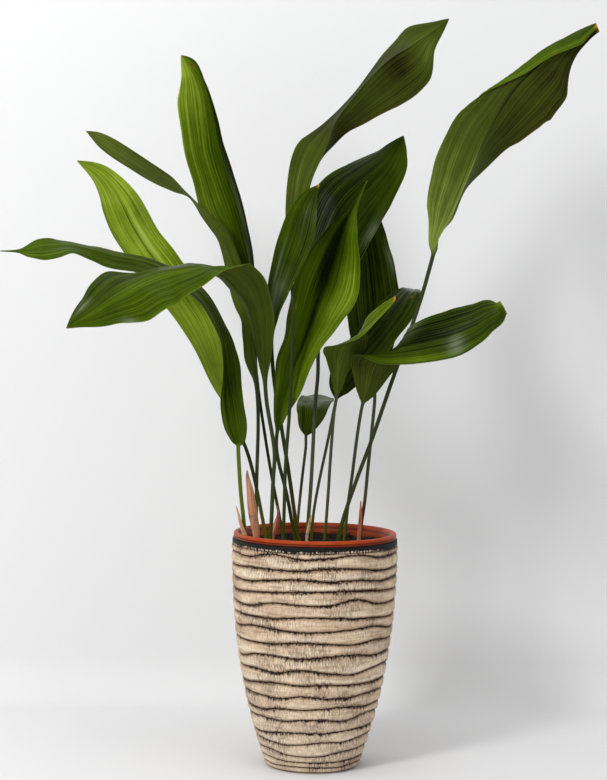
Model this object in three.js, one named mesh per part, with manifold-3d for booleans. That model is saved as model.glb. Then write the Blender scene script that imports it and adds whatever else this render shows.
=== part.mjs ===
// Potted cast iron plant: stalked leaves and dry papery sheaths in soil, in a plastic nursery pot
// that hangs by its rim in a ribbed ceramic planter.
// Millimetres, +Z up. The origin is the centre of the planter's flat underside, and -Y is the front.
import * as THREE from 'three';
import { mergeVertices } from 'three/addons/utils/BufferGeometryUtils.js';
import Module from 'manifold-3d';

// Driving dimensions: planter
const PLANTER_HEIGHT = 266;
const PLANTER_BASE_RADIUS = 53.5;
const PLANTER_RIM_RADIUS = 95.7;
const PLANTER_BELLY = 2.3;
const PLANTER_WALL = 7;
const PLANTER_FLOOR = 9;
const GROOVE_DEPTH = 1.6;
const BAND_SWELL = 0.8;
const RIM_BAND_FOOT = 259.5;
const ROUND_STEPS = 36;

// Driving dimensions: nursery pot, soil and fits
const GAP = 0.3;
const POT_FOOT = 107;
const POT_FOOT_RADIUS = 64;
const POT_WALL = 1.6;
const POT_RIM_RADIUS = 95;
const POT_MOUTH_RADIUS = 89.3;
const POT_NECK_RADIUS = 86.4;
const POT_SHOULDER = 255;
const POT_SHOULDER_RADIUS = 84.5;
const POT_RIM_HEIGHT = 6.5;
const SOIL_TOP = 260;
const SOIL_BUMP = 1.3;
const HOLE_CLEARANCE = 0.5;
const CUT_TOP = 266;

// Driving dimensions: leaves
const BLADE_THICKNESS = 0.8;
const BLADE_STEPS = 16;
const ARCH_DEGREES = 14;
const EDGE_WAVE = 0.06;
const EDGE_WAVES = 2.5;
const EDGE_PHASE_STEP = 0.37;
const KEEL = 0.6;
const STEM_BLEND_END = 0.3;
const DEGREE = Math.PI / 180;

// Each groove of the planter: its height, and how far it waves above or below that across the front,
// every 20 degrees from 70 degrees left to 70 degrees right.
const GROOVES = [
  [8, [0, -1, 0, 0, 0, -1, 1, 1]],
  [15, [1, 0, -1, -1, -1, -1, 0, 0]],
  [25, [1, 1, -3, -4, -3, 1, 2, 3]],
  [38, [0, -2, -4, -2, 1, 0, 3, 5]],
  [50, [-5, -4, -1, 0, 0, 2, 3, 3]],
  [66, [-1, -1, -3, 0, 0, -2, 4, 4]],
  [78, [-3, -4, 0, 0, 2, 3, 1, 2]],
  [93, [-1, -2, -3, 1, -1, -1, 2, 2]],
  [107, [-4, -1, 1, 0, 1, 0, 0, 1]],
  [122, [-1, 0, -2, 3, 0, -3, 2, 4]],
  [139, [-6, 0, 1, -1, 2, 3, 0, 1]],
  [155, [-2, -2, -1, 2, 1, -1, 2, 0]],
  [170, [-2, 2, 1, -1, 0, 2, 3, -2]],
  [184, [-1, -1, -1, 2, 2, 0, -1, -3]],
  [199, [-4, -4, 2, 1, 1, 7, 0, -1]],
  [213, [-4, -2, 0, 2, 3, 3, 1, -1]],
  [226, [-3, -3, 1, 3, 1, 2, -1, 0]],
  [239, [-2, 0, 0, 0, 3, 2, -2, -2]],
  [253, [-1, -2, 4, -1, 1, 4, -1, 0]],
];
const GROOVE_KNOT_STEP = 20;
const GROOVE_FIRST_KNOT = -70;
const GROOVE_KNOTS = 18;

// Each leaf: its stalk's radius, the stalk's points from its foot in the soil, and the blade's points
// from its base to its tip. A blade point adds the half width, the roll about the leaf's own line and
// the fold of each half towards the upper side, in degrees. At roll 0 the upper side looks along face.
// A seventh value is the share of the half width that one half has more and the other has less.
const FRONT = [0, -1, 0];
const FRONT_AND_UP = [0, -1, 1];
const BACK_AND_UP = [0, 1, 1];
const LEAVES = {
  leaf_a: {
    radius: 2.3,
    face: FRONT,
    stalk: [[-70, -2, 210], [-80, -2, 256], [-83, -2, 285], [-87, -3, 320]],
    blade: [[-90, -6, 365, 1, 0, 0], [-90, -8, 379, 9, 0, 25], [-93, -10, 398, 15.5, 4, 30],
      [-97, -12, 423, 17, 4, 35], [-103, -15, 449, 17, -25, 45], [-107, -18, 477, 16, -52, 30],
      [-113, -18, 504, 18, -68, 12], [-139, -18, 547, 22, -75, 5], [-191, -20, 576, 25, -70, 0],
      [-236, -30, 586, 22, -60, -3], [-258, -38, 593, 22, -68, -5], [-281, -46, 598, 21, -73, 0],
      [-298, -52, 597, 20, -58, 0], [-315, -56, 595, 16, -45, 0], [-328, -60, 593, 9, -45, 0],
      [-339, -63, 593, 2.5, -45, 0], [-358, -68, 593, 0.8, -45, 0]],
  },
  leaf_b: {
    radius: 2.1,
    face: FRONT,
    stalk: [[-67, 26, 205], [-68, 24, 253], [-69, 23, 277], [-69, 22, 330], [-68, 22, 389]],
    blade: [[-69, 20, 424, 1, 200, 0], [-72, 20, 447, 4, 200, 20], [-78, 20, 471, 8, 180, 35],
      [-80, 21, 494, 8, 170, 35], [-81, 23, 517, 9, 130, 30], [-88, 26, 540, 11, 150, 30],
      [-99, 29, 578, 12, 178, 35], [-112, 32, 610, 11, 195, 42], [-124, 33, 626, 10, 225, 20],
      [-135, 36, 640, 10, 248, 0], [-153, 42, 661, 9, 262, 0], [-173, 50, 675, 14, 238, 0],
      [-200, 60, 690, 19, 235, 0], [-231, 70, 709, 18, 235, 0], [-260, 76, 727, 11, 230, 0],
      [-278, 80, 738, 0.6, 225, 5]],
  },
  leaf_c: {
    radius: 2.1,
    face: FRONT,
    stalk: [[-52, 10, 208], [-56, 8, 255], [-61, 8, 284], [-71, 10, 331], [-80, 12, 363]],
    blade: [[-91, 14, 389, 1, 0, 0], [-101, 16, 418, 6, 5, 15], [-112, 20, 447, 13, 5, 25],
      [-131, 28, 502, 22, 5, 25], [-155, 36, 541, 25.5, 5, 25], [-183, 44, 574, 27.5, 0, 25],
      [-204, 52, 601, 27, 0, 22], [-220, 60, 625, 27, 0, 20], [-232, 66, 648, 25, 0, 22],
      [-243, 72, 667, 20, 0, 22], [-257, 78, 684, 14, 0, 20], [-271, 82, 694, 8.5, 0, 20],
      [-289, 86, 703, 0.6, 5, 10]],
  },
  leaf_d: {
    radius: 2.3,
    face: FRONT,
    stalk: [[-60, -24, 213], [-54, -24, 254], [-51, -25, 277], [-49, -28, 335], [-48, -30, 370]],
    blade: [[-57, -34, 422, 1, 180, 0], [-60, -40, 456, 5, 185, 18], [-62, -47, 488, 11, 190, 25],
      [-65, -54, 513, 15.5, 200, 22], [-71, -62, 538, 19, 213, 10], [-80, -70, 557, 24, 212, 4],
      [-93, -82, 571, 27, 228, 4], [-107, -98, 576, 31, 257, 5], [-126, -114, 578, 36, 277, -1],
      [-150, -128, 576, 40, 300, -24, 0.12], [-173, -140, 572, 46.5, 306, -27],
      [-192, -148, 564, 47, 311, -23], [-210, -155, 554, 45, 322, -18],
      [-228, -161, 542, 35.5, 326, -13], [-242, -166, 531, 24, 330, -13],
      [-258, -170, 520, 11.5, 340, -8], [-271, -174, 510, 0.6, 345, -5]],
  },
  leaf_e: {
    radius: 1.8,
    face: FRONT,
    stalk: [[-28, 34, 205], [-36, 32, 252], [-41, 32, 282], [-53, 32, 341], [-64, 34, 405]],
    blade: [[-70, 38, 446, 1, 15, 0], [-74, 42, 487, 5, 15, 20], [-77, 46, 529, 11, 20, 38],
      [-85, 52, 585, 19, 16, 42], [-95, 56, 623, 29, 20, 45], [-105, 60, 654, 37, 23, 45],
      [-117, 64, 686, 37, 17, 47], [-126, 68, 717, 38, 20, 47], [-130, 72, 747, 38, 25, 48],
      [-134, 75, 776, 36, 30, 52], [-140, 78, 795, 30, 31, 52], [-150, 80, 812, 20, 22, 48],
      [-166, 82, 829, 0.8, 20, 20]],
  },
  leaf_f: {
    radius: 2,
    face: FRONT,
    stalk: [[-40, -20, 213], [-37, -20, 253], [-36, -22, 300], [-35, -24, 353], [-31, -27, 418],
      [-29, -42, 491], [-29, -53, 542]],
    blade: [[-31, -56, 578, 1, 160, 0], [-26, -54, 610, 11, 150, 45], [-19, -50, 641, 22, 150, 60],
      [-11, -46, 673, 30, 150, 58], [-2, -43, 696, 33, 141, 49], [7, -40, 717, 33, 153, 56],
      [17, -37, 744, 33, 186, 64], [34, -36, 768, 36, 205, 55], [55, -36, 794, 46, 213, 50],
      [78, -36, 816, 50, 211, 46], [98, -37, 829, 44, 206, 38], [115, -39, 841, 23, 189, 33],
      [130, -40, 851, 10, 185, 25], [143, -42, 861, 0.6, 185, 5]],
  },
  leaf_g: {
    radius: 2.3,
    face: FRONT,
    stalk: [[-10, 10, 209], [-17, 8, 256], [-21, 8, 273], [-31, 6, 338], [-41, 3, 396],
      [-48, -3, 437]],
    blade: [[-52, -12, 472, 1, 0, 0], [-53, -22, 501, 4, 0, 10], [-51, -40, 530, 8.5, 0, 20],
      [-44, -56, 559, 14, 0, 20], [-34, -66, 589, 18, 0, 18], [-26, -70, 613, 20, 0, 18],
      [-19, -70, 638, 17, 0, 18], [-11, -68, 658, 9, 0, 15], [-1, -65, 672, 0.6, 0, 10]],
  },
  leaf_h: {
    radius: 2.1,
    face: FRONT,
    stalk: [[-12, -12, 212], [-21, -12, 258], [-26, -12, 281], [-34, -12, 320], [-43, -13, 354]],
    blade: [[-46, -14, 378, 1, 0, 0], [-42, -15, 409, 8, 0, 20], [-34, -17, 438, 19, 0, 36],
      [-26, -16, 465, 27, 8, 42], [-16, -15, 490, 32, 6, 47], [-8, -14, 513, 40, 2, 46],
      [1, -15, 542, 47, -4, 42], [10, -16, 565, 49, -2, 42], [19, -18, 594, 42, 0, 45],
      [27, -20, 620, 28, 0, 50], [36, -21, 642, 9, 0, 35], [44, -22, 659, 3, 0, 20],
      [54, -23, 679, 0.6, 0, 10]],
  },
  leaf_i: {
    radius: 2.2,
    face: FRONT,
    stalk: [[-11, -6, 211], [-10, -6, 252], [-8, -6, 287], [-5, -4, 336], [-2, 6, 414], [1, 14, 454]],
    blade: [[1, 18, 478, 1, 0, 0], [2, 20, 507, 9, 0, 5], [5, 22, 547, 23, 0, -8],
      [11, 25, 591, 38, 0, -18], [21, 28, 625, 46, 0, -24], [36, 31, 652, 49, -3, -27],
      [59, 35, 678, 42, 0, -30], [80, 40, 702, 28, 4, -30], [90, 44, 719, 15, 6, -22],
      [98, 48, 735, 0.8, 0, -5]],
  },
  leaf_j: {
    radius: 1.7,
    face: FRONT_AND_UP,
    stalk: [[-24, 30, 205], [-21, 28, 253], [-20, 28, 284], [-16, 27, 330], [-12, 26, 368]],
    blade: [[-12, 28, 380, 1, 0, 0], [-10, 31, 391, 11, 5, 15], [-6, 36, 403, 17, 5, 15],
      [-4, 46, 413, 20, 5, 10], [0, 80, 419, 21, 0, 8], [4, 115, 420, 18, 0, 5],
      [9, 145, 421, 12, 0, 5], [14, 170, 421, 0.6, 0, 0]],
  },
  leaf_k: {
    radius: 1.7,
    face: FRONT_AND_UP,
    stalk: [[-5, 24, 207], [-4, 22, 254], [-2, 22, 290], [4, 22, 328], [14, 24, 378]],
    blade: [[22, 26, 421, 1, 0, 0], [27, 27, 439, 14, 0, 10], [39, 29, 458, 24, 0, 15],
      [57, 31, 481, 25, 0, 15], [76, 34, 504, 24, 0, 15], [92, 38, 525, 24, 0, 15],
      [104, 44, 543, 18, 0, 12], [110, 56, 552, 12, 0, 10], [114, 84, 555, 8, 0, 5],
      [116, 104, 555, 0.6, 0, 0]],
  },
  leaf_l: {
    radius: 1.8,
    face: BACK_AND_UP,
    stalk: [[9, 6, 209], [11, 6, 256], [13, 4, 286], [15, 2, 321], [17, 0, 362], [20, -4, 409]],
    blade: [[22, -6, 424, 1, 0, 0], [24, -9, 441, 6, 0, 20], [25, -14, 457, 11, 0, 20],
      [28, -22, 472, 19, -5, 12], [32, -34, 486, 27, -20, 5], [41, -48, 498, 27, -48, 5],
      [54, -60, 512, 20, -72, 5], [70, -74, 529, 17, -78, 5], [81, -81, 540, 11, -75, 5],
      [86, -84, 546, 5, -75, 5]],
  },
  leaf_m: {
    radius: 2.3,
    face: FRONT,
    stalk: [[18, -10, 212], [26, -12, 259], [32, -12, 288], [47, -10, 334], [65, -4, 383],
      [87, 8, 448], [108, 14, 508], [121, 16, 549]],
    blade: [[131, 16, 587, 1, 170, 0], [138, 16, 613, 12, 148, 48], [152, 15, 639, 31, 148, 47],
      [168, 12, 677, 43, 153, 55], [186, 8, 725, 46, 169, 38], [197, 4, 747, 44, 178, 28, -0.1],
      [209, 0, 769, 40, 180, 20, -0.35], [223, -4, 790, 36, 182, 14, -0.62],
      [251, -11, 818, 28, 184, 12, -0.72], [278, -17, 836, 13, 184, 10, -0.5],
      [300, -21, 849, 7, 184, 8, -0.3], [314, -24, 855, 4.5, 184, 0]],
  },
  leaf_n: {
    radius: 1.9,
    face: BACK_AND_UP,
    stalk: [[30, 10, 209], [34, 10, 256], [38, 8, 303], [42, 4, 335], [47, -4, 382]],
    blade: [[52, -10, 418, 1, 0, 0], [57, -14, 436, 12, 0, 12], [61, -19, 451, 21, 0, 18],
      [65, -30, 466, 28, 0, 15], [74, -48, 480, 31, -25, 5], [91, -68, 489, 32, -70, 5],
      [119, -88, 498, 31, -98, 5], [148, -102, 506, 30, -102, 5], [172, -112, 517, 28, -100, 5],
      [187, -117, 527, 24, -97, 5], [198, -120, 533, 19, -93, 5, 0.12],
      [203, -122, 539, 15, -90, 5, 0.25]],
  },
  leaf_o: {
    radius: 2,
    face: FRONT,
    stalk: [[47, 12, 209], [51, 12, 250], [54, 14, 279], [58, 16, 309], [62, 22, 355], [68, 34, 419]],
    blade: [[68, 40, 439, 1, 0, 0], [67, 46, 460, 14, 0, 15], [66, 54, 489, 27, 0, 20],
      [65, 68, 534, 35, 0, 22], [61, 76, 577, 33, 0, 22], [57, 78, 613, 26, 0, 20],
      [57, 83, 647, 15, 0, 15], [62, 88, 679, 0.8, 0, 10]],
  },
};

// The dry scales at the feet of the stalks, in the same terms as a blade, with no stalk of their own.
const SHEATH_EDGE = 0.8;
const SHEATH_STEPS = 7;
const SHEATHS = {
  sheath_large: [[-68, 3, 257, 4, 0, -40], [-69, 3, 272, 6, 0, -40], [-73, 3, 295, 6.5, 0, -35],
    [-76, 3, 318, 5, 0, -35], [-79, 3, 334, 2.5, 0, -30], [-80, 3, 343, 0.6, 0, -20]],
  sheath_curled: [[-78, -9, 257, 3.5, 0, -45], [-82, -9, 268, 4, 10, -45], [-87, -9, 282, 3, 20, -45],
    [-90, -8, 294, 1.8, 30, -40], [-92, -7, 302, 0.6, 30, -20]],
  sheath_red: [[-52, -14, 257, 3.5, 0, -35], [-50, -14, 268, 4.5, 0, -35], [-45, -14, 282, 4, 0, -35],
    [-43, -14, 293, 2, 0, -30], [-44, -14, 304, 0.6, 0, -20]],
  sheath_narrow: [[-10, -11.5, 257, 2, 0, -40], [-9, -11.5, 270, 2.2, 0, -40],
    [-7, -12, 282, 2, 0, -35], [-5, -12.5, 293, 0.6, 0, -20]],
  sheath_brown: [[51, 7, 257, 3, 0, -45], [52, 7.5, 272, 3.2, 0, -45], [53, 9, 290, 2.6, 0, -40],
    [53, 10.5, 308, 0.6, 0, -20]],
};

const wasm = await Module();
wasm.setup();

const finish = (color, roughness) => new THREE.MeshStandardMaterial({ color, roughness, metalness: 0 });
const GLAZE = finish(0xd6be9f, 0.6);
const TERRACOTTA = finish(0xc4512b, 0.5);
const EARTH = finish(0x2e1d14, 0.95);
const LEAF_GREEN = finish(0x45681c, 0.4);
const DRY_SCALE = finish(0xb5714b, 0.8);

function geometryOf(points, faces) {
  const geometry = new THREE.BufferGeometry();
  geometry.setAttribute('position', new THREE.Float32BufferAttribute(points.flat(), 3));
  geometry.setIndex(faces.flat());
  geometry.computeVertexNormals();
  return geometry;
}

function solidOf(geometry) {
  const bare = geometry.clone();
  bare.deleteAttribute('normal');
  bare.deleteAttribute('uv');
  const merged = mergeVertices(bare);
  return new wasm.Manifold(new wasm.Mesh({
    numProp: 3,
    vertProperties: new Float32Array(merged.attributes.position.array),
    triVerts: new Uint32Array(merged.index.array),
  }));
}

function geometryFrom(solid) {
  const mesh = solid.getMesh();
  const geometry = new THREE.BufferGeometry();
  geometry.setAttribute('position', new THREE.BufferAttribute(Float32Array.from(mesh.vertProperties), 3));
  geometry.setIndex(Array.from(mesh.triVerts));
  geometry.computeVertexNormals();
  return geometry;
}

// A closed round shape. rowsAt gives the outline at an azimuth as [radius, height] pairs, from the
// axis underneath, out and round, back to the axis. Azimuth 0 is the front and 90 is +X.
function turned(rowsAt) {
  const rows = rowsAt(0).length;
  const points = [];
  const faces = [];
  for (let i = 0; i < ROUND_STEPS; i += 1) {
    const azimuth = (360 * i) / ROUND_STEPS;
    rowsAt(azimuth).slice(1, -1).forEach(([radius, height]) => {
      points.push([radius * Math.sin(azimuth * DEGREE), -radius * Math.cos(azimuth * DEGREE), height]);
    });
  }
  const foot = points.push([0, 0, rowsAt(0)[0][1]]) - 1;
  const head = points.push([0, 0, rowsAt(0)[rows - 1][1]]) - 1;
  const ring = rows - 2;
  for (let i = 0; i < ROUND_STEPS; i += 1) {
    const here = i * ring;
    const next = ((i + 1) % ROUND_STEPS) * ring;
    faces.push([foot, next, here]);
    for (let j = 0; j < ring - 1; j += 1) {
      faces.push([here + j, next + j, next + j + 1], [here + j, next + j + 1, here + j + 1]);
    }
    faces.push([here + ring - 1, next + ring - 1, head]);
  }
  return geometryOf(points, faces);
}

// Planter
function planterRadius(height) {
  const rise = 1 - (1 - height / PLANTER_HEIGHT) ** PLANTER_BELLY;
  return PLANTER_BASE_RADIUS + (PLANTER_RIM_RADIUS - PLANTER_BASE_RADIUS) * rise;
}

// Across the back, each groove repeats its front waves, with a level knot at either side between.
function grooveKnot(index, knot) {
  const waves = [...GROOVES[index][1], 0];
  return waves[knot % waves.length];
}

function grooveHeight(index, azimuth) {
  const turn = (azimuth - GROOVE_FIRST_KNOT) / GROOVE_KNOT_STEP;
  const knot = Math.floor(turn);
  const part = turn - knot;
  const [a, b, c, d] = [-1, 0, 1, 2].map(
    (step) => grooveKnot(index, (knot + step + GROOVE_KNOTS) % GROOVE_KNOTS),
  );
  const u = (c - a) / 2;
  const v = (d - b) / 2;
  const cubic = (2 * b - 2 * c + u + v) * part ** 3 + (3 * c - 3 * b - 2 * u - v) * part ** 2;
  return GROOVES[index][0] + cubic + u * part + b;
}

function planterRows(azimuth) {
  const heights = GROOVES.map((groove, index) => grooveHeight(index, azimuth));
  const rows = [[0, 0], [PLANTER_BASE_RADIUS - 3, 0], [PLANTER_BASE_RADIUS - 0.8, 1.4]];
  heights.forEach((height, index) => {
    const below = index === 0 ? 1.4 : heights[index - 1];
    const middle = (height + below) / 2;
    rows.push([planterRadius(middle) + BAND_SWELL, middle]);
    rows.push([planterRadius(height) - GROOVE_DEPTH, height]);
  });
  rows.push([planterRadius(RIM_BAND_FOOT), RIM_BAND_FOOT]);
  rows.push([PLANTER_RIM_RADIUS, PLANTER_HEIGHT - 0.8]);
  rows.push([PLANTER_RIM_RADIUS - 0.8, PLANTER_HEIGHT]);
  rows.push([PLANTER_RIM_RADIUS - PLANTER_WALL, PLANTER_HEIGHT]);
  [200, 140, 80, 30].forEach((height) => {
    rows.push([planterRadius(height) - PLANTER_WALL - GROOVE_DEPTH, height]);
  });
  rows.push([PLANTER_BASE_RADIUS - PLANTER_WALL, PLANTER_FLOOR]);
  rows.push([0, PLANTER_FLOOR]);
  return rows;
}

// Nursery pot and soil
function potInside(height) {
  const { mapLinear } = THREE.MathUtils;
  if (height <= POT_SHOULDER) {
    return mapLinear(height, POT_FOOT, POT_SHOULDER, POT_FOOT_RADIUS - POT_WALL, POT_SHOULDER_RADIUS);
  }
  return mapLinear(height, POT_SHOULDER, PLANTER_HEIGHT, POT_SHOULDER_RADIUS, POT_NECK_RADIUS);
}

function potRows() {
  const seat = PLANTER_HEIGHT + GAP;
  const top = seat + POT_RIM_HEIGHT;
  return [
    [0, POT_FOOT],
    [POT_FOOT_RADIUS, POT_FOOT],
    [POT_SHOULDER_RADIUS + POT_WALL, POT_SHOULDER],
    [POT_NECK_RADIUS + POT_WALL, seat],
    [POT_RIM_RADIUS - 0.4, seat],
    [POT_RIM_RADIUS, seat + 0.6],
    [POT_RIM_RADIUS, seat + 1.8],
    [POT_RIM_RADIUS - 0.9, seat + 2.4],
    [POT_RIM_RADIUS - 0.3, seat + 3.2],
    [POT_RIM_RADIUS - 0.3, seat + 5.2],
    [POT_RIM_RADIUS - 1.2, top - 0.3],
    [POT_RIM_RADIUS - 2.6, top],
    [POT_MOUTH_RADIUS + 1.2, top - 0.2],
    [POT_MOUTH_RADIUS, top - 1],
    [POT_NECK_RADIUS, PLANTER_HEIGHT],
    [POT_SHOULDER_RADIUS, POT_SHOULDER],
    [potInside(POT_FOOT + POT_WALL), POT_FOOT + POT_WALL],
    [0, POT_FOOT + POT_WALL],
  ];
}

function soilHeight(azimuth, radius) {
  const x = radius * Math.sin(azimuth * DEGREE);
  const y = -radius * Math.cos(azimuth * DEGREE);
  return SOIL_TOP + SOIL_BUMP * Math.sin(x / 9 + 1) * Math.cos(y / 7) + 0.5 * Math.sin(x / 4 - y / 5);
}

function soilRows(azimuth) {
  const foot = POT_FOOT + POT_WALL + GAP;
  const rows = [[0, foot], [potInside(foot) - GAP, foot], [POT_SHOULDER_RADIUS - GAP, POT_SHOULDER]];
  [84, 72, 60, 48, 36, 24, 12].forEach((radius) => rows.push([radius, soilHeight(azimuth, radius)]));
  rows.push([0, soilHeight(0, 0)]);
  return rows;
}

// Leaves: the outline at a stop is ten points, five across the upper face and five back underneath.
const ACROSS = [-1, -0.5, 0, 0.5, 1];
const STEM_ACROSS = [-0.95, -0.59, 0, 0.59, 0.95];
const STEM_DEEP = [0.31, 0.81, 1, 0.81, 0.31];

function leafOf({ radius, face, stalk, blade }, phase, steps) {
  const roll = blade[0][4];
  const rows = [...stalk.map((point) => [...point, 0, roll, 0]), ...blade];
  const curve = (first) => new THREE.CatmullRomCurve3(
    rows.map((row) => new THREE.Vector3(...row.slice(first, first + 3))),
    false,
    'catmullrom',
  );
  const start = stalk.length / (rows.length - 1);
  const towards = new THREE.Vector3(...face);
  return { radius, phase, steps, start, face: towards, path: curve(0), form: curve(3), uneven: curve(6) };
}

// Stops along the leaf: one at each point of the stalk, then even steps of length along the blade.
function leafStops(leaf) {
  const stalkSteps = Math.round(leaf.start * (leaf.path.points.length - 1));
  const stops = Array.from({ length: stalkSteps }, (_, k) => ({ t: (leaf.start * k) / stalkSteps, u: 0 }));
  const samples = 400;
  const reach = [0];
  const at = (k) => leaf.start + ((1 - leaf.start) * k) / samples;
  for (let k = 1; k <= samples; k += 1) {
    reach.push(reach[k - 1] + leaf.path.getPoint(at(k)).distanceTo(leaf.path.getPoint(at(k - 1))));
  }
  for (let step = 0; step <= leaf.steps; step += 1) {
    const u = step / leaf.steps;
    const k = reach.findIndex((length) => length >= reach[samples] * u - 1e-6);
    stops.push({ t: at(k), u });
  }
  return stops;
}

function leafRing(leaf, { t, u }, grow) {
  const centre = leaf.path.getPoint(t);
  const ahead = leaf.path.getTangent(t);
  const [formHalf, roll, fold] = leaf.form.getPoint(t).toArray();
  const lean = leaf.uneven.getPoint(t).x;
  const evenHalf = Math.max(formHalf, 0.4) + grow;
  const side = ahead.clone().cross(leaf.face).normalize();
  const lift = side.clone().cross(ahead).applyAxisAngle(ahead, -roll * DEGREE);
  side.applyAxisAngle(ahead, -roll * DEGREE);
  const radius = leaf.radius + grow;
  const flat = u > STEM_BLEND_END ? 1 : THREE.MathUtils.smoothstep(evenHalf, leaf.radius, 3 * leaf.radius);
  const upper = [];
  const under = [];
  ACROSS.forEach((s, k) => {
    const v = Math.abs(s);
    const half = evenHalf * (1 + Math.sign(s) * lean);
    const bend = (fold + (ARCH_DEGREES * (1 - v)) / 2) * DEGREE;
    const wave = EDGE_WAVE * half * s * v * Math.sin(2 * Math.PI * (EDGE_WAVES * u + leaf.phase));
    const out = THREE.MathUtils.lerp(STEM_ACROSS[k] * radius, s * half * Math.cos(bend), flat);
    const rise = flat * (half * v * Math.sin(bend) + wave);
    const keel = v === 0 ? KEEL * leaf.radius * (1 - u) : 0;
    const skin = BLADE_THICKNESS / 2 + grow;
    const above = THREE.MathUtils.lerp(STEM_DEEP[k] * radius, skin, flat);
    const below = THREE.MathUtils.lerp(STEM_DEEP[k] * radius, skin + keel, flat);
    const spot = centre.clone().addScaledVector(side, out);
    upper.push(spot.clone().addScaledVector(lift, rise + above).toArray());
    under.unshift(spot.clone().addScaledVector(lift, rise - below).toArray());
  });
  return [...upper, ...under];
}

// A closed strip through rings of ten points, with both faces split into triangles the same way.
function strip(rings) {
  const count = rings[0].length;
  const faces = [];
  for (let k = 0; k < rings.length - 1; k += 1) {
    for (let j = 0; j < count; j += 1) {
      const a = k * count + j;
      const b = k * count + ((j + 1) % count);
      const [c, d] = [b + count, a + count];
      const upperSide = j < count / 2;
      faces.push(...(upperSide ? [[a, b, c], [a, c, d]] : [[a, b, d], [b, c, d]]));
    }
  }
  const last = (rings.length - 1) * count;
  for (let j = 0; j < count / 2 - 1; j += 1) {
    const [a, b, c, d] = [j, j + 1, count - 2 - j, count - 1 - j];
    faces.push([a, c, b], [a, d, c]);
    faces.push([last + a, last + b, last + c], [last + a, last + c, last + d]);
  }
  return geometryOf(rings.flat(), faces);
}

function leafGeometry(leaf) {
  return strip(leafStops(leaf).map((stop) => leafRing(leaf, stop, 0)));
}

// The hole that a stalk or sheath stands in: its own foot, a little larger and a little deeper.
function footCutter(leaf) {
  const stops = leafStops(leaf);
  const above = stops.findIndex(({ t }) => leaf.path.getPoint(t).z > CUT_TOP);
  const rings = stops.slice(0, above + 1).map((stop) => leafRing(leaf, stop, HOLE_CLEARANCE));
  return solidOf(strip(rings)).translate([0, 0, -GAP - 0.05]);
}

const leaves = Object.entries(LEAVES).map(([name, shape], index) => [
  name,
  leafOf(shape, EDGE_PHASE_STEP * index, BLADE_STEPS),
]);
const sheaths = Object.entries(SHEATHS).map(([name, blade]) => [
  name,
  leafOf({ radius: SHEATH_EDGE, face: FRONT, stalk: [], blade }, 0, SHEATH_STEPS),
]);

const soilSolid = [...leaves, ...sheaths].reduce(
  (soil, [, leaf]) => soil.subtract(footCutter(leaf)),
  solidOf(turned(soilRows)),
);

const plant = new THREE.Group();

function add(name, geometry, material) {
  const mesh = new THREE.Mesh(geometry, material);
  mesh.name = name;
  plant.add(mesh);
}

add('planter', turned(planterRows), GLAZE);
add('nursery_pot', turned(potRows), TERRACOTTA);
add('soil', geometryFrom(soilSolid), EARTH);
leaves.forEach(([name, leaf]) => add(name, leafGeometry(leaf), LEAF_GREEN));
sheaths.forEach(([name, leaf]) => add(name, leafGeometry(leaf), DRY_SCALE));

export default plant;
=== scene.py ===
# Potted cast iron plant: fifteen stalked leaves and a few dry scales in potting soil, in a plastic
# nursery pot that hangs by its rim in a tall ribbed ceramic planter.
# The frame is in metres, +Z up. The pieces' sizes are in millimetres and the studio's in metres. The
# origin is the middle of the planter's flat underside, and -Y is the front.
import math
import random

import bmesh
import bpy
import numpy as np
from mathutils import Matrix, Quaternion, Vector, noise


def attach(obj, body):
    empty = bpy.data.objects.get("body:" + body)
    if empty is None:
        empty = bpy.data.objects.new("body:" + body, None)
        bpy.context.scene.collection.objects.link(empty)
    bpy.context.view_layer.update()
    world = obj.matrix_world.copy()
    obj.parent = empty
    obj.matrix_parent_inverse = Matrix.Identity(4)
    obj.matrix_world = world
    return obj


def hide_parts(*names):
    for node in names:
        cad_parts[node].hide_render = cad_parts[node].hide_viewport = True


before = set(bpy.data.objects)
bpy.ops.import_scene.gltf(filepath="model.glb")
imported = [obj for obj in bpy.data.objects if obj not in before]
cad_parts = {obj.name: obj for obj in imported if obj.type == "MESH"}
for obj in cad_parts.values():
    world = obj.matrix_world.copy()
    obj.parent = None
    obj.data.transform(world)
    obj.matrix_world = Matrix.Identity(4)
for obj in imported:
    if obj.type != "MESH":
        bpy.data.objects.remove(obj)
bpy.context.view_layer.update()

# Planter
# A tall outer pot of beige stoneware, thrown on the wheel, with nineteen wavy grooves cut round
# it. A dark stain was wiped off the bands, so it stays in the grooves, in their torn edges and in the
# fine upright scratches, and the rim is dipped in charcoal glaze.
MM = 0.001
PLANTER_HEIGHT = 266
PLANTER_BASE_RADIUS = 53.5
PLANTER_RIM_RADIUS = 95.7
PLANTER_BELLY = 2.3
PLANTER_WALL = 7
PLANTER_FLOOR = 9
GROOVE_DEPTH = 1.6
BAND_SWELL = 0.8
RIM_BAND_FOOT = 259.5
PLANTER_STEPS = 300
BAND_ROWS = 12
FOOT_ROUNDING = 3
FIRST_BAND_FOOT = 1.6
FAR_FROM_GROOVE = 3
# The rim's section, up outside and down inside: heights, and how far out from the wall's own line.
RIM_SECTION = (
    (259.5, 0.0), (260.3, 0.15), (262.5, 0.1), (264.4, 0.0), (265.4, -0.2),
    (265.85, -0.6), (266, -1.3), (266, -5.4), (265.7, -6.3), (264.8, -6.9),
)
INNER_HEIGHTS = (250, 225, 200, 170, 140, 110, 80, 50, 30, 14)
GROOVE_KNOT_STEP = 20
GROOVE_FIRST_KNOT = -70
GROOVE_KNOTS = 360 // GROOVE_KNOT_STEP
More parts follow.
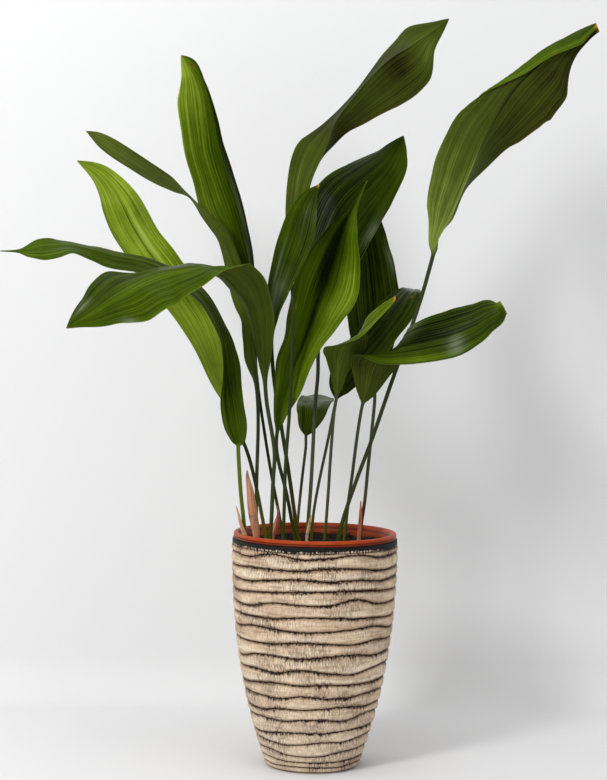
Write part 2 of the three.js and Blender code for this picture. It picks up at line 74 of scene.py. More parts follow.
# Each groove: its height, and how far it waves from that every 20 degrees across the front.
GROOVES = [
    [8, [0, -1, 0, 0, 0, -1, 1, 1]],
    [15, [1, 0, -1, -1, -1, -1, 0, 0]],
    [25, [1, 1, -3, -4, -3, 1, 2, 3]],
    [38, [0, -2, -4, -2, 1, 0, 3, 5]],
    [50, [-5, -4, -1, 0, 0, 2, 3, 3]],
    [66, [-1, -1, -3, 0, 0, -2, 4, 4]],
    [78, [-3, -4, 0, 0, 2, 3, 1, 2]],
    [93, [-1, -2, -3, 1, -1, -1, 2, 2]],
    [107, [-4, -1, 1, 0, 1, 0, 0, 1]],
    [122, [-1, 0, -2, 3, 0, -3, 2, 4]],
    [139, [-6, 0, 1, -1, 2, 3, 0, 1]],
    [155, [-2, -2, -1, 2, 1, -1, 2, 0]],
    [170, [-2, 2, 1, -1, 0, 2, 3, -2]],
    [184, [-1, -1, -1, 2, 2, 0, -1, -3]],
    [199, [-4, -4, 2, 1, 1, 7, 0, -1]],
    [213, [-4, -2, 0, 2, 3, 3, 1, -1]],
    [226, [-3, -3, 1, 3, 1, 2, -1, 0]],
    [239, [-2, 0, 0, 0, 3, 2, -2, -2]],
    [253, [-1, -2, 4, -1, 1, 4, -1, 0]],
]


class Shade:
    """One output of a shader node, which sums and products can be written with."""

    def __init__(self, tree, socket=None):
        self.tree = tree
        self.socket = socket

    def node(self, kind, settings, inputs, out=0):
        """One output of a new node, whose inputs are numbers or other shades."""
        made = self.tree.nodes.new(kind)
        for key, value in settings.items():
            setattr(made, key, value)
        for key, value in inputs.items():
            if isinstance(value, Shade):
                self.tree.links.new(value.socket, made.inputs[key])
            else:
                made.inputs[key].default_value = value
        return Shade(self.tree, made.outputs[out])

    def math(self, operation, *others):
        return self.node("ShaderNodeMath", {"operation": operation}, dict(enumerate((self, *others))))

    def __add__(self, other):
        return self.math("ADD", other)

    __radd__ = __add__

    def __sub__(self, other):
        return self.math("SUBTRACT", other)

    def __rsub__(self, other):
        return self * -1 + other

    def __mul__(self, other):
        return self.math("MULTIPLY", other)

    __rmul__ = __mul__

    def __truediv__(self, other):
        return self.math("DIVIDE", other)

    def step(self, low, high):
        """Goes softly from 0 at low to 1 at high."""
        settings = {"interpolation_type": "SMOOTHSTEP"}
        return self.node("ShaderNodeMapRange", settings, {0: self, 1: low, 2: high, 3: 0.0, 4: 1.0})

    def pick(self, first, second):
        """The first colour where this is 0 and the second where it is 1."""
        return self.node("ShaderNodeMix", {"data_type": "RGBA"}, {0: self, 6: first, 7: second}, 2)

    def stretch(self, x, y, z):
        return self.node("ShaderNodeVectorMath", {"operation": "MULTIPLY"}, {0: self, 1: (x, y, z)})

    def grain(self, scale, detail=3.0, rough=0.5):
        inputs = {"Vector": self, "Scale": scale, "Detail": detail, "Roughness": rough}
        return self.node("ShaderNodeTexNoise", {}, inputs)

    def height(self):
        return self.node("ShaderNodeSeparateXYZ", {}, {0: self}, "Z")

    def join(self, y, z):
        return self.node("ShaderNodeCombineXYZ", {}, {0: self, 1: y, 2: z})


def tint(red, green, blue):
    """A colour from its screen values, 0 to 255."""
    linear = [((c / 255 + 0.055) / 1.055) ** 2.4 for c in (red, green, blue)]
    return (*linear, 1.0)


def start_finish(name):
    """A new material, and the place to begin its shader from."""
    made = bpy.data.materials.new(name)
    made.use_nodes = True
    return made, Shade(made.node_tree)


def end_finish(made, **looks):
    """Sets the named sockets of the material's surface, from numbers or from shades."""
    shader = made.node_tree.nodes["Principled BSDF"]
    for key, value in looks.items():
        socket = shader.inputs[key.replace("_", " ").title().replace("Ior", "IOR")]
        if isinstance(value, Shade):
            made.node_tree.links.new(value.socket, socket)
        else:
            socket.default_value = value
    return made


def raised(start, height, depth):
    """A bump as deep as depth, in metres, where the shade goes from 0 to 1."""
    return start.node("ShaderNodeBump", {}, {"Strength": 1.0, "Distance": depth, "Height": height})


def place(start):
    """The place on the object, in metres."""
    return start.node("ShaderNodeTexCoord", {}, {}, "Object")


def named(start, attribute):
    """A value that the mesh carries at each point."""
    return start.node("ShaderNodeAttribute", {"attribute_name": attribute}, {}, "Fac")


scene = bpy.context.scene


def put_in(thing):
    scene.collection.objects.link(thing)


def add_piece(name, points, faces, finishes, which=None, values=None, sharp=40):
    """A smooth mesh, in millimetres, with its finishes and the values at its points."""
    mesh = bpy.data.meshes.new(name)
    mesh.from_pydata([tuple(MM * c for c in point) for point in points], [], faces)
    for finish in finishes:
        mesh.materials.append(finish)
    if which is not None:
        mesh.polygons.foreach_set("material_index", which)
    for attribute, numbers in (values or {}).items():
        mesh.attributes.new(attribute, "FLOAT", "POINT").data.foreach_set("value", numbers)
    mesh.polygons.foreach_set("use_smooth", [True] * len(mesh.polygons))
    mesh.set_sharp_from_angle(angle=math.radians(sharp))
    mesh.update()
    piece = bpy.data.objects.new(name, mesh)
    put_in(piece)
    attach(piece, "root")
    return piece


def around(radius, k, count):
    """The k-th of count places round the middle, from the front."""
    angle = math.tau * k / count
    return radius * math.sin(angle), -radius * math.cos(angle)


def turned_faces(columns, rows, closed=False):
    """The faces of a wall that goes all the way round. A closed section ends where it began."""
    faces = []
    for column in range(columns):
        here = column * rows
        there = ((column + 1) % columns) * rows
        for row in range(rows if closed else rows - 1):
            after = (row + 1) % rows
            faces.append((here + row, there + row, there + after, here + after))
    return faces


def planter_radius(height):
    """The wall's own line, without its bands and grooves."""
    rise = 1 - (1 - min(height, PLANTER_HEIGHT) / PLANTER_HEIGHT) ** PLANTER_BELLY
    return PLANTER_BASE_RADIUS + (PLANTER_RIM_RADIUS - PLANTER_BASE_RADIUS) * rise


def smooth(a, b, c, d, part):
    """The smooth curve through four knots, part of the way from b to c."""
    u, v = (c - a) / 2, (d - b) / 2
    return b + u * part + (3 * c - 3 * b - 2 * u - v) * part**2 + (2 * b - 2 * c + u + v) * part**3


def groove_height(index, azimuth):
    """The groove's height at a place round the planter; its back repeats the waves of its front."""
    height, waves = GROOVES[index]
    waves = [*waves, 0]
    turn = (azimuth - GROOVE_FIRST_KNOT) / GROOVE_KNOT_STEP
    knot = math.floor(turn)
    knots = (waves[(knot + step) % GROOVE_KNOTS % len(waves)] for step in (-1, 0, 1, 2))
    return height + smooth(*knots, turn - knot)


def planter_column(azimuth):
    """The wall's radii and heights, each with its distance from a groove and place in the band."""
    across = Vector((math.sin(math.radians(azimuth)), math.cos(math.radians(azimuth)), 0))
    tear = 0.55 * noise.noise(across * 26) + 0.35 * noise.noise(across * 70)
    grooves = [groove_height(index, azimuth) + tear * (0.6 + 0.4 * math.sin(index * 2.1))
               for index in range(len(GROOVES))]
    edges = [FIRST_BAND_FOOT, *grooves, RIM_BAND_FOOT]
    column = [
        (PLANTER_BASE_RADIUS - FOOT_ROUNDING, 0, FAR_FROM_GROOVE, 0),
        (PLANTER_BASE_RADIUS - 0.3 * FOOT_ROUNDING, 0.5, FAR_FROM_GROOVE, 0),
    ]
    for index in range(len(edges) - 1):
        low, high = edges[index], edges[index + 1]
        for row in range(BAND_ROWS):
            part = 0.5 - 0.5 * math.cos(math.pi * row / BAND_ROWS)
            height = low + (high - low) * part
            ends = 1 - abs(2 * part - 1) ** (6 if part < 0.5 else 2.6)
            lean = 0.7 * (0.5 - part)
            scratch = 0.16 * noise.noise(Vector((across.x * 95, across.y * 95, height * 0.16)))
            dent = 0.5 * noise.noise(Vector((across.x * 5, across.y * 5, height * 0.07)))
            bottom = GROOVE_DEPTH * (0.0 if index == 0 and row == 0 else 1.0)
            radius = planter_radius(height) - bottom + (bottom + BAND_SWELL + dent + lean) * ends
            column.append((radius + scratch, height, min(height - low, high - height), part))
    for height, out in RIM_SECTION:
        column.append((planter_radius(height) + out, height, FAR_FROM_GROOVE, 0))
    for height in INNER_HEIGHTS:
        radius = planter_radius(height) - PLANTER_WALL - GROOVE_DEPTH
        column.append((radius, height, FAR_FROM_GROOVE, 0))
    column.append((PLANTER_BASE_RADIUS - PLANTER_WALL - 2, PLANTER_FLOOR, FAR_FROM_GROOVE, 0))
    return column


def stoneware_finish():
    made, start = start_finish("stoneware")
    where = place(start)
    height = where.height()
    gap = named(start, "groove_gap")
    above = named(start, "groove_above")
    ticks = where.stretch(1, 1, 0.2).grain(640, 3, 0.65).step(0.42, 0.64)
    fibres = where.stretch(1, 1, 0.12).grain(1150, 2, 0.6).step(0.4, 0.66)
    smudge = where.grain(30, 4, 0.6).step(0.4, 0.62)
    cloud = where.stretch(1, 1, 2.2).grain(17, 4, 0.6).step(0.4, 0.62)
    level = where.stretch(0.4, 0.4, 4).grain(34, 3, 0.6).step(0.46, 0.64)
    inner = gap.step(0.8, 4.5)
    body = inner.pick(tint(172, 141, 112), tint(240, 215, 184))
    body = (cloud * 0.45).pick(body, tint(184, 152, 124))
    brushed = where.stretch(0.35, 0.35, 5).grain(120, 3, 0.65)
    body = (brushed.step(0.46, 0.7) * 0.55 * inner).pick(body, tint(128, 101, 78))
    # Painted highlight: a near-white cream laid over the lower middle of each band, away from the
    # grooves.
    bright = level * (1 - above * 0.8) * inner
    body = (bright * 0.85).pick(body, tint(255, 242, 218))
    # Painted light: the wall's colour is made lighter towards its foot.
    foot = 1 - height.step(0.02, 0.12)
    body = (foot * 0.3).pick(body, tint(252, 236, 214))
    scratch = fibres * (0.16 + 0.36 * above + 0.24 * smudge)
    body = scratch.pick(body, tint(112, 86, 66))
    worn = ticks * smudge * (1 - inner * 0.5)
    body = worn.pick(body, tint(74, 54, 42))
    torn = (1.6 + 3.0 * smudge) * (0.6 + 0.4 * above) * (0.3 + 0.7 * height.step(0.02, 0.06))
    reach = ticks * torn + 0.5
    stain = 1 - (gap / reach).step(0.7, 1.1)
    body = stain.pick(body, tint(34, 23, 19))
    edge = height + (ticks - 0.5) * 0.004 + (smudge - 0.5) * 0.003
    dipped = edge.step(0.2582, 0.2588)
    body = dipped.pick(body, tint(7, 6, 5))
    rough = 0.8 - 0.1 * inner - 0.1 * dipped
    relief = ticks * 0.3 + fibres * 0.12 - stain * 0.5 + dipped * 0.3
    return end_finish(
        made, base_color=body, roughness=rough, specular_ior_level=0.25,
        normal=raised(start, relief, 0.0006))


def add_planter():
    columns = [planter_column(360 * k / PLANTER_STEPS) for k in range(PLANTER_STEPS)]
    points, gaps, parts = [], [], []
    for k, column in enumerate(columns):
        for radius, height, gap, part in column:
            points.append((*around(radius, k, PLANTER_STEPS), height))
            gaps.append(gap)
            parts.append(part)
    rows = len(columns[0])
    faces = turned_faces(PLANTER_STEPS, rows)
    for row, height in ((0, 0), (rows - 1, PLANTER_FLOOR)):
        points.append((0, 0, height))
        gaps.append(FAR_FROM_GROOVE)
        parts.append(0)
        middle = len(points) - 1
        for k in range(PLANTER_STEPS):
            here = k * rows + row
            there = ((k + 1) % PLANTER_STEPS) * rows + row
            faces.append((middle, there, here) if row == 0 else (middle, here, there))
    values = {"groove_gap": gaps, "groove_above": parts}
    piece = add_piece("planter_wall", points, faces, [stoneware_finish()], values=values)
    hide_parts("planter")


add_planter()

# Nursery pot
# A thin pot of terracotta-coloured plastic, moulded in one piece with a doubled rim. The rim's flange
# rests on the planter's rim, and the rest hangs free inside. Soil dust clings to the inner wall.
GAP = 0.3
POT_FOOT = 107
POT_FOOT_RADIUS = 64
POT_WALL = 1.6
POT_RIM_RADIUS = 95
POT_MOUTH_RADIUS = 89.3
POT_NECK_RADIUS = 86.4
POT_SHOULDER = 255
POT_SHOULDER_RADIUS = 84.5
POT_KNEE = 180
POT_LIP_FOOT = 262
POT_RIM_HEIGHT = 6.5
POT_DRAIN_RADIUS = 6
POT_STEPS = 180


def pot_inside(height):
    """The radius of the pot's inner wall, which steepens above its shoulder."""
    if height <= POT_SHOULDER:
        part = (height - POT_FOOT) / (POT_SHOULDER - POT_FOOT)
        return POT_FOOT_RADIUS - POT_WALL + (POT_SHOULDER_RADIUS - POT_FOOT_RADIUS + POT_WALL) * part
    part = (height - POT_SHOULDER) / (PLANTER_HEIGHT - POT_SHOULDER)
    return POT_SHOULDER_RADIUS + (POT_NECK_RADIUS - POT_SHOULDER_RADIUS) * part


def pot_profile():
    """The pot's section from its drain hole, up outside, over the rim and down inside."""
    seat = PLANTER_HEIGHT + GAP
    top = seat + POT_RIM_HEIGHT
    floor = POT_FOOT + POT_WALL
    foot, shoulder, neck = POT_FOOT_RADIUS, POT_SHOULDER_RADIUS, POT_NECK_RADIUS
    mouth, rim = POT_MOUTH_RADIUS, POT_RIM_RADIUS
    return [
        (POT_DRAIN_RADIUS, POT_FOOT), (foot - 1.5, POT_FOOT), (foot - 0.3, POT_FOOT + 0.5),
        (foot, POT_FOOT + 2), (pot_inside(POT_KNEE) + POT_WALL, POT_KNEE),
        (shoulder + POT_WALL, POT_SHOULDER), (neck + POT_WALL - 0.2, seat - 0.4),
        (neck + POT_WALL + 0.5, seat), (rim - 1, seat), (rim - 0.35, seat + 0.15),
        (rim, seat + 0.55), (rim, seat + 1.45), (rim - 0.25, seat + 1.8), (rim - 0.8, seat + 2.05),
        (rim - 1.05, seat + 2.4), (rim - 0.85, seat + 2.8), (rim - 0.4, seat + 3.05),
        (rim - 0.25, seat + 3.5), (rim - 0.25, seat + 4.9), (rim - 0.5, seat + 5.5),
        (rim - 1.1, top - 0.45), (rim - 2, top - 0.12), (rim - 2.9, top), (rim - 3.8, top - 0.05),
        (rim - 4.2, top - 0.5), (rim - 4.5, top - 0.5), (mouth + 0.5, top - 0.55),
        (mouth, top - 1.1), (mouth - 0.5, top - 2.6), (neck + 0.8, PLANTER_HEIGHT + 1.2),
        (neck, PLANTER_HEIGHT - 0.4), (pot_inside(POT_LIP_FOOT), POT_LIP_FOOT),
        (shoulder, POT_SHOULDER), (pot_inside(POT_KNEE), POT_KNEE), (pot_inside(floor), floor),
        (POT_DRAIN_RADIUS, floor),
    ]


def plastic_finish():
    made, start = start_finish("terracotta_plastic")
    where = place(start)
    height = where.height()
    mottle = where.grain(55, 4, 0.6)
    speck = where.grain(700, 2, 0.5)
    lines = where.stretch(0.15, 0.15, 14).grain(110, 2, 0.5)
    body = mottle.step(0.35, 0.7).pick(tint(166, 58, 6), tint(184, 72, 10))
    body = (lines.step(0.5, 0.7) * 0.3).pick(body, tint(160, 50, 8))
    # Painted shade: the lower lip under the upper one, and the mouth inside at the same heights, are
    # darkened.
    painted_shade_under_lip = height.step(0.2655, 0.266) * (1 - height.step(0.2682, 0.2692))
    body = (painted_shade_under_lip * 0.75).pick(body, tint(84, 26, 8))
    # Painted shade: a dark line in the groove between the two lips.
    painted_lip_groove_shade = height.step(0.2684, 0.2686) * (1 - height.step(0.2689, 0.2692))
    body = (painted_lip_groove_shade * 0.75).pick(body, tint(52, 20, 10))
    low = 1 - height.step(0.2605, 0.2675)
    dust = (low * 0.9 + 0.05) * speck.step(0.36, 0.58) * mottle.step(0.25, 0.55)
    body = dust.pick(body, tint(82, 48, 32))
    rough = 0.34 + 0.1 * mottle + 0.35 * dust
    relief = speck * 0.4 + mottle * 0.6
    return end_finish(
        made, base_color=body, roughness=rough, specular_ior_level=0.2,
        normal=raised(start, relief, 0.0002))


def add_nursery_pot():
    """The section turned round, a little out of round above its foot."""
    profile = pot_profile()
    points = []
    for k in range(POT_STEPS):
        angle = math.tau * k / POT_STEPS
        sway = 0.25 * math.sin(3 * angle + 1) + 0.15 * math.sin(5 * angle)
        for radius, height in profile:
            free = min(max((radius - 60) / 30, 0), 1)
            points.append((*around(radius + sway * free - 0.2 * free, k, POT_STEPS), height))
    faces = turned_faces(POT_STEPS, len(profile), closed=True)
    piece = add_piece("pot_shell", points, faces, [plastic_finish()], sharp=60)
    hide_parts("nursery_pot")


add_nursery_pot()

# Soil
# Dark potting mix of peat and bark fines, firmed round the stalks a finger's width under the rim.
# Its top is crumbs of all sizes, with a few paler bits of bark.
SOIL_TOP = 260
SOIL_FOOT = 109
SOIL_RADIUS = 85.3
SOIL_RINGS = 62
SOIL_STEPS = 220
CRUMBS = 420
CRUMBS_RADIUS = 82
CRUMB_SIZES = (0.8, 1.1, 1.1, 1.6, 2.3)
CRUMB_SEED = 11


def soil_height(x, y):
    lump = 1.3 * math.sin(x / 9 + 1) * math.cos(y / 7) + 0.5 * math.sin(x / 4 - y / 5)
    grit = 1.5 * noise.noise(Vector((x / 6, y / 6, 3)))
    grit += 0.8 * noise.noise(Vector((x / 2.6, y / 2.6, 8)))
    fine = 0.45 * noise.noise(Vector((x / 1.1, y / 1.1, 5)))
    return SOIL_TOP + lump + grit + fine


def soil_finish():
    made, start = start_finish("potting_mix")
    where = place(start)
    crumbs = where.grain(260, 4, 0.7)
    patches = where.grain(45, 3, 0.6)
    bits = where.grain(900, 2, 0.6)
    body = crumbs.step(0.35, 0.65).pick(tint(15, 8, 6), tint(44, 26, 20))
    body = (patches.step(0.45, 0.7) * 0.4).pick(body, tint(38, 22, 16))
    body = (bits.step(0.66, 0.74) * 0.7).pick(body, tint(128, 92, 62))
    relief = crumbs + bits * 0.3
    return end_finish(
        made, base_color=body, roughness=0.95, specular_ior_level=0.2,
        normal=raised(start, relief, 0.0016))


def add_soil(finish):
    points = [(0, 0, soil_height(0, 0))]
    for ring in range(1, SOIL_RINGS + 1):
        radius = SOIL_RADIUS * ring / SOIL_RINGS
        for k in range(SOIL_STEPS):
            x, y = around(radius, k, SOIL_STEPS)
            points.append((x, y, soil_height(x, y)))
    for height in (POT_SHOULDER, SOIL_FOOT):
        radius = pot_inside(height) - GAP
        points.extend((*around(radius, k, SOIL_STEPS), height) for k in range(SOIL_STEPS))
    faces = [(0, 1 + k, 1 + (k + 1) % SOIL_STEPS) for k in range(SOIL_STEPS)]
    for ring in range(SOIL_RINGS + 1):
        for k in range(SOIL_STEPS):
            a = 1 + ring * SOIL_STEPS + k
            b = 1 + ring * SOIL_STEPS + (k + 1) % SOIL_STEPS
            faces.append((a, a + SOIL_STEPS, b + SOIL_STEPS, b))
    last = 1 + (SOIL_RINGS + 1) * SOIL_STEPS
    faces.append(tuple(last + k for k in reversed(range(SOIL_STEPS))))
    piece = add_piece("soil_plug", points, faces, [finish])
    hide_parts("soil")


def add_crumbs(finish):
    """Loose crumbs strewn over the soil's top."""
    draw = random.Random(CRUMB_SEED)
    crumbs = bmesh.new()
    for _ in range(CRUMBS):
        radius = CRUMBS_RADIUS * math.sqrt(draw.random())
        angle = draw.uniform(0, math.tau)
        x, y = radius * math.sin(angle), radius * math.cos(angle)
        size = draw.choice(CRUMB_SIZES)
        made = bmesh.ops.create_icosphere(crumbs, subdivisions=2, radius=1)["verts"]
        long, wide, tall = (size * draw.uniform(0.6, 1.3) for _ in range(3))
        turn = draw.uniform(0, math.pi)
        for vert in made:
            knock = 1 + 0.35 * noise.noise(vert.co * 1.7 + Vector((x, y, 0)))
            u = vert.co.x * long * knock
            v = vert.co.y * wide * knock
            w = vert.co.z * tall * knock * 0.8
            vert.co = (
                x + u * math.cos(turn) - v * math.sin(turn),
                y + u * math.sin(turn) + v * math.cos(turn),
                soil_height(x, y) + w,
            )
    points = [tuple(vert.co) for vert in crumbs.verts]
    faces = [tuple(vert.index for vert in face.verts) for face in crumbs.faces]
    crumbs.free()
    loose = add_piece("soil_crumbs", points, faces, [finish])


potting_mix = soil_finish()
add_soil(potting_mix)
add_crumbs(potting_mix)

# Leaves
# Each leaf is one stalk and one blade, grown in one piece from the rhizome under the soil. The stalk is
# channelled along its upper side and spreads into a long leathery blade, pleated along its parallel
# veins, glossy above and duller below. Old tips dry out to straw and brown.
BLADE_THICKNESS = 0.7
ARCH_DEGREES = 14
EDGE_WAVE = 0.06
EDGE_WAVES = 2.5
EDGE_PHASE_STEP = 0.37
KEEL = 0.6
STEM_BLEND_END = 0.3
ACROSS_POINTS = 33
CURL_RADIUS = 1.5
CURL_OPEN = 0.3
NO_HEM = ((0, 1), (0, 0))
STALK_STOPS = 26
BLADE_STOPS = 120
BARE_BLADE_STOPS = 40
LENGTH_SAMPLES = 400
SMALL_STEP = 1e-4
THINNEST_HALF = 0.4
VEIN_GAP = 3.2
PLEAT_GAP = 8.5
PLEAT_DEPTH = 0.22
RIB_DEPTH = 0.45
SEED_STEP = 7.3
FRONT = (0, -1, 0)
FRONT_AND_UP = (0, -1, 1)
BACK_AND_UP = (0, 1, 1)
